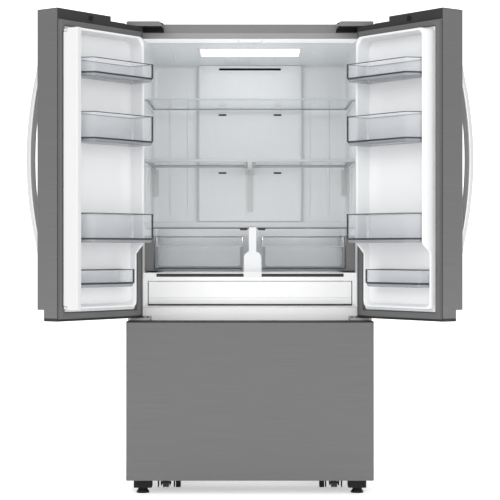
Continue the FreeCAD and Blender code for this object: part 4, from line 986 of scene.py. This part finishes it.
def middle_hinge_plates():
    """Bright screwed plate with rounded ends on the flange of each middle hinge."""
    low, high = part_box("middle_hinges")
    plates, screws = bmesh.new(), bmesh.new()
    face = high.y - 3.2 * MM
    for sign in (-1, 1):
        x0, x1 = sorted((sign * (high.x - 77 * MM), sign * (high.x - 18 * MM)))
        outline = rounded_outline(rect(x0, x1, low.z + 1 * MM, low.z + 14 * MM), 6 * MM)
        front = face - 1.2 * MM
        bar_y(plates, outline, front, face)
        for k in range(3):
            place = Vector((x0 + (11 + 18 * k) * MM, front, low.z + 7.5 * MM))
            screw(screws, place, Vector((0, -1, 0)), 4.6 * MM)
    piece("middle_hinge_plates", plates, ZINC, "cabinet", "galvanized", bevel=0.4 * MM)
    piece("middle_hinge_screws", screws, BLACK_METAL, "cabinet", "black_metal")


def screw(bm, place, axis, radius):
    """Domed screw head with a cross recess, on a surface."""
    spin = axis.to_track_quat("Z", "Y").to_matrix()
    sides = 20

    def ring(reaches, height):
        made = []
        for k, reach in enumerate(reaches):
            a = 2 * math.pi * k / sides
            spot = Vector((math.cos(a) * radius * reach, math.sin(a) * radius * reach, height * radius))
            made.append(tuple(place + spin @ spot))
        return made

    head = [ring([r] * sides, h) for r, h in ((1.0, -0.6), (1.0, 0.25), (0.8, 0.5), (0.45, 0.62))]
    cross = ring([0.42 if k % 5 == 0 else 0.16 for k in range(sides)], 0.28)
    solid(bm, head + [cross])


def outside():
    """Cabinet steel, rear panels, chassis and feet."""
    dress(GRAY_PAINT, "cabinet_shell")
    dress(FOAM, "cabinet_foam", "freezer_front_foam")
    dress(ZINC, "back_panel", "machine_cover")
    dress(BLACK_METAL, "base_frame", "condenser", "compressor")
    dress(FINS, "evaporator")
    dress(FAN_PLASTIC, "condenser_fan", "evaporator_fan")
    dress(CAP_PLASTIC, "drip_pan")
    dress(ZINC, "freezer_rails", "drawer_slides")
    dress(FLAP_PLASTIC, "shelf_ladders")
    # the rail is brightened white, as painted light over its shade
    softened("center_rail", WHITE_PLASTIC_PAINTED_LIGHT, 1 * MM)
    for side, _ in SIDES:
        softened(side + "_leveling_leg", BLACK_METAL, 0.8 * MM)
        for end in ("front", "rear"):
            dress(ROLLER_PLASTIC, "%s_%s_roller" % (end, side))
    bm = bmesh.new()
    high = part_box("back_panel")[1]
    for x in range(-440, 441, 110):
        screw(bm, Vector((x * MM, high.y - 2 * MM, 1722 * MM)), Vector((0, 1, 0)), 4 * MM)
        screw(bm, Vector((x * MM, high.y - 1 * MM, 297 * MM)), Vector((0, 1, 0)), 4 * MM)
    piece("rear_screws", bm, ZINC_SCREW, "cabinet", "galvanized")


def underside():
    """Sheet under the foam, cup feet on the leveling legs and flanges beside the front rollers."""
    low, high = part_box("cabinet_foam")
    pan = boxes(((low.x + 2 * MM, FRONT + 3 * MM, low.z - 0.28 * MM),
                 (high.x - 2 * MM, FRONT + 380 * MM, low.z - 0.04 * MM)))
    piece("underside_pan", pan, ZINC, "cabinet", "galvanized", smooth=False)
    flanges = bmesh.new()
    for side, sign in SIDES:
        foot_low, foot_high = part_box(side + "_leveling_leg")
        centre = (foot_low + foot_high) / 2
        cup = bmesh.new()
        solid(cup, [[(x, y, z * MM) for x, y in circle(centre.x, centre.y, r * MM)]
                    for r, z in ((20.5, 1.0), (22.5, 2.5), (22.5, 7.0), (19.0, 10.0), (16.5, 18.0))])
        piece(side + "_leg_cup", cup, BLACK_PLASTIC, BODY_OF[side + "_leveling_leg"], "dark_plastic",
              bevel=0.5 * MM)
        low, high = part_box("front_%s_roller" % side)
        inner, outer = sorted((abs(low.x), abs(high.x)))
        for near, far in ((outer + 6 * MM, outer + 10 * MM), (inner - 14 * MM, inner - 10 * MM),
                          (inner - 36 * MM, inner - 18 * MM)):
            a, b = sorted((sign * near, sign * far))
            box_mesh(flanges, (a, low.y - 4 * MM, low.z + 3 * MM), (b, high.y, 44 * MM))
    piece("front_roller_flanges", flanges, BLACK_METAL, "cabinet", "black_metal", bevel=1 * MM)


# ---- freezer drawer ----
def round_uprights(bm, y, shortest, radius, clamp):
    """Rounds the upright edges ahead of a depth."""
    edges = [e for e in bm.edges
             if abs(e.verts[0].co.z - e.verts[1].co.z) > shortest and e.verts[0].co.y < y]
    bmesh.ops.bevel(bm, geom=edges, offset=radius, segments=6, profile=0.5, affect="EDGES",
                    clamp_overlap=clamp)


def freezer_drawer():
    """Drawer front of folded steel with a cap along its top, its liner and seal, bin and basket."""
    low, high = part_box("freezer_front_skin")
    bm = boxes((low, high))
    round_uprights(bm, low.y + 1e-4, 0.1, 7 * MM, True)
    # open the back inside its return; a modifier gives the sheet its thickness
    back = [f for f in bm.faces if all(v.co.y > high.y - 1e-5 for v in f.verts)]
    bmesh.ops.inset_region(bm, faces=back, thickness=30 * MM)
    bmesh.ops.delete(bm, geom=back, context="FACES")
    # the front's steel is painted darker, as painted shade
    skin = piece("freezer_front_panel", bm, DRAWER_STEEL_PAINTED_SHADE, "freezer_drawer", "stainless",
                 ("freezer_front_skin",), 1.6 * MM, 3)
    thick = skin.modifiers.new("sheet", "SOLIDIFY")
    thick.thickness = 1 * MM
    thick.offset = -1
    bpy.context.view_layer.update()
    cap = boxes(((low.x + 1.5 * MM, low.y - 0.3 * MM, high.z - 4.2 * MM),
                 (high.x - 1.5 * MM, high.y, high.z + 0.4 * MM)))
    round_uprights(cap, low.y, 1e-3, 6 * MM, False)
    piece("freezer_front_top_cap", cap, CAP_PLASTIC, "freezer_drawer", "dark_plastic", bevel=0.3 * MM)
    softened("freezer_front_liner", WHITE_LINER, 1.5 * MM)
    bm = seal_mesh(*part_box("freezer_gasket"))
    piece("freezer_seal", bm, GASKET, "freezer_drawer", "gasket_rubber", ("freezer_gasket",))
    softened("freezer_bin", FREEZER_BIN, 2 * MM)
    softened("freezer_basket", WHITE_PLASTIC, 1.2 * MM)
    dress(WHITE_LINER, "freezer_liner")


def flap():
    """White bar on the left door that bridges the two doors, and the lugs that carry its pins."""
    softened("mullion_flap", FLAP_PLASTIC, 1.2 * MM, 3)
    low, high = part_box("mullion_flap")
    x, y, radius = 25 * MM, FRONT + 11 * MM, 10 * MM
    bm = bmesh.new()
    for z in (low.z + 3 * MM, high.z - 10 * MM):
        outline = [(x + radius * math.cos(a), y + radius * math.sin(a))
                   for a in (math.pi / 2 + math.pi * k / 12 for k in range(13))]
        outline += [(LINER_LOW.x + 16 * MM, y - radius), (LINER_LOW.x + 16 * MM, y + radius)]
        solid(bm, [[(px, py, h) for px, py in outline] for h in (z, z + 7 * MM)])
    door_piece("flap_lugs", bm, FLAP_PLASTIC, "left", slot="white_plastic", bevel=0.8 * MM)


# ---- build ----
for door_side, _ in SIDES:
    make_door(door_side)
    crisper(door_side)
for build in (fresh_food_liner, back_wall_ribs, shelf_ledges, duct_details, top_flange, ceiling_band, lamp,
              shelves, half_shelf_brackets, crisper_surround, pantry, hinges, outside, underside,
              freezer_drawer, flap):
    build()


# ---- floor, light and camera ----
def floor():
    """Paper floor that curves up into a wall far behind the object."""
    bm = bmesh.new()
    reach = 14.0
    sweep = 1.2
    wall = 12.0
    profile = [(-reach, 0.0), (wall - sweep, 0.0)]
    for k in range(1, 13):
        a = math.pi / 2 * k / 12
        profile.append((wall - sweep + sweep * math.sin(a), sweep - sweep * math.cos(a)))
    profile.append((wall, 9.0))
    loft(bm, [[(x, y, z) for y, z in profile] for x in (-reach, reach)], ring=False)
    mesh = bpy.data.meshes.new("studio_floor")
    bm.to_mesh(mesh)
    bm.free()
    made = linked("studio_floor", mesh)
    for polygon in mesh.polygons:
        polygon.use_smooth = True
    paper = Material("floor_paper", Roughness=0.9, Emission_Color=(1, 1, 1, 1), Emission_Strength=0.5)
    paper.colour(paper.noise(scale=3.0), (0.90, 0.90, 0.90), (0.92, 0.92, 0.92))
    mesh.materials.append(paper.made)


def area_light(name, place, target, size, power, height=None):
    data = bpy.data.lights.new(name, "AREA")
    data.shape = "RECTANGLE"
    data.size = size
    data.size_y = height or size
    data.energy = power
    made = linked(name, data)
    made.location = place
    made.rotation_euler = (Vector(target) - Vector(place)).to_track_quat("-Z", "Y").to_euler()


def studio():
    """White surroundings, three soft lights in front and two small ones inside the cabinet."""
    world = bpy.data.worlds.new("studio")
    bpy.context.scene.world = world
    world.use_nodes = True
    world.node_tree.nodes["Background"].inputs["Color"].default_value = (1, 1, 1, 1)
    world.node_tree.nodes["Background"].inputs["Strength"].default_value = 0.85
    area_light("key", (-3.2, -5.0, 4.2), (0, 0, 0.9), 3.0, 85)
    area_light("fill", (3.4, -4.6, 2.6), (0, 0, 0.9), 3.0, 36)
    area_light("front", (0.0, -6.5, 3.4), (0, 0, 1.1), 3.0, 30)
    area_light("ceiling_lamp", (0, FRONT + 0.27, 1.645), (0, FRONT + 0.48, 1.0), 0.38, 0.6, 0.14)
    area_light("crisper_lamp", (0, FRONT + 0.165, 0.968), (0, FRONT + 0.50, 0.86), 0.70, 1.0, 0.02)
    bpy.context.scene.view_settings.view_transform = "Standard"


def camera():
    """Level camera, six metres ahead of the freezer drawer's face."""
    distance = 6.0
    height = 0.898
    data = bpy.data.cameras.new("view")
    data.sensor_width = 36.0
    data.lens = 118.0
    data.clip_end = 60.0
    made = linked("view", data)
    drawer_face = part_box("freezer_front_skin")[0].y
    made.location = (0.0, drawer_face - distance, height)
    made.rotation_euler = (math.radians(90), 0, 0)
    bpy.context.scene.camera = made


floor()
studio()
camera()
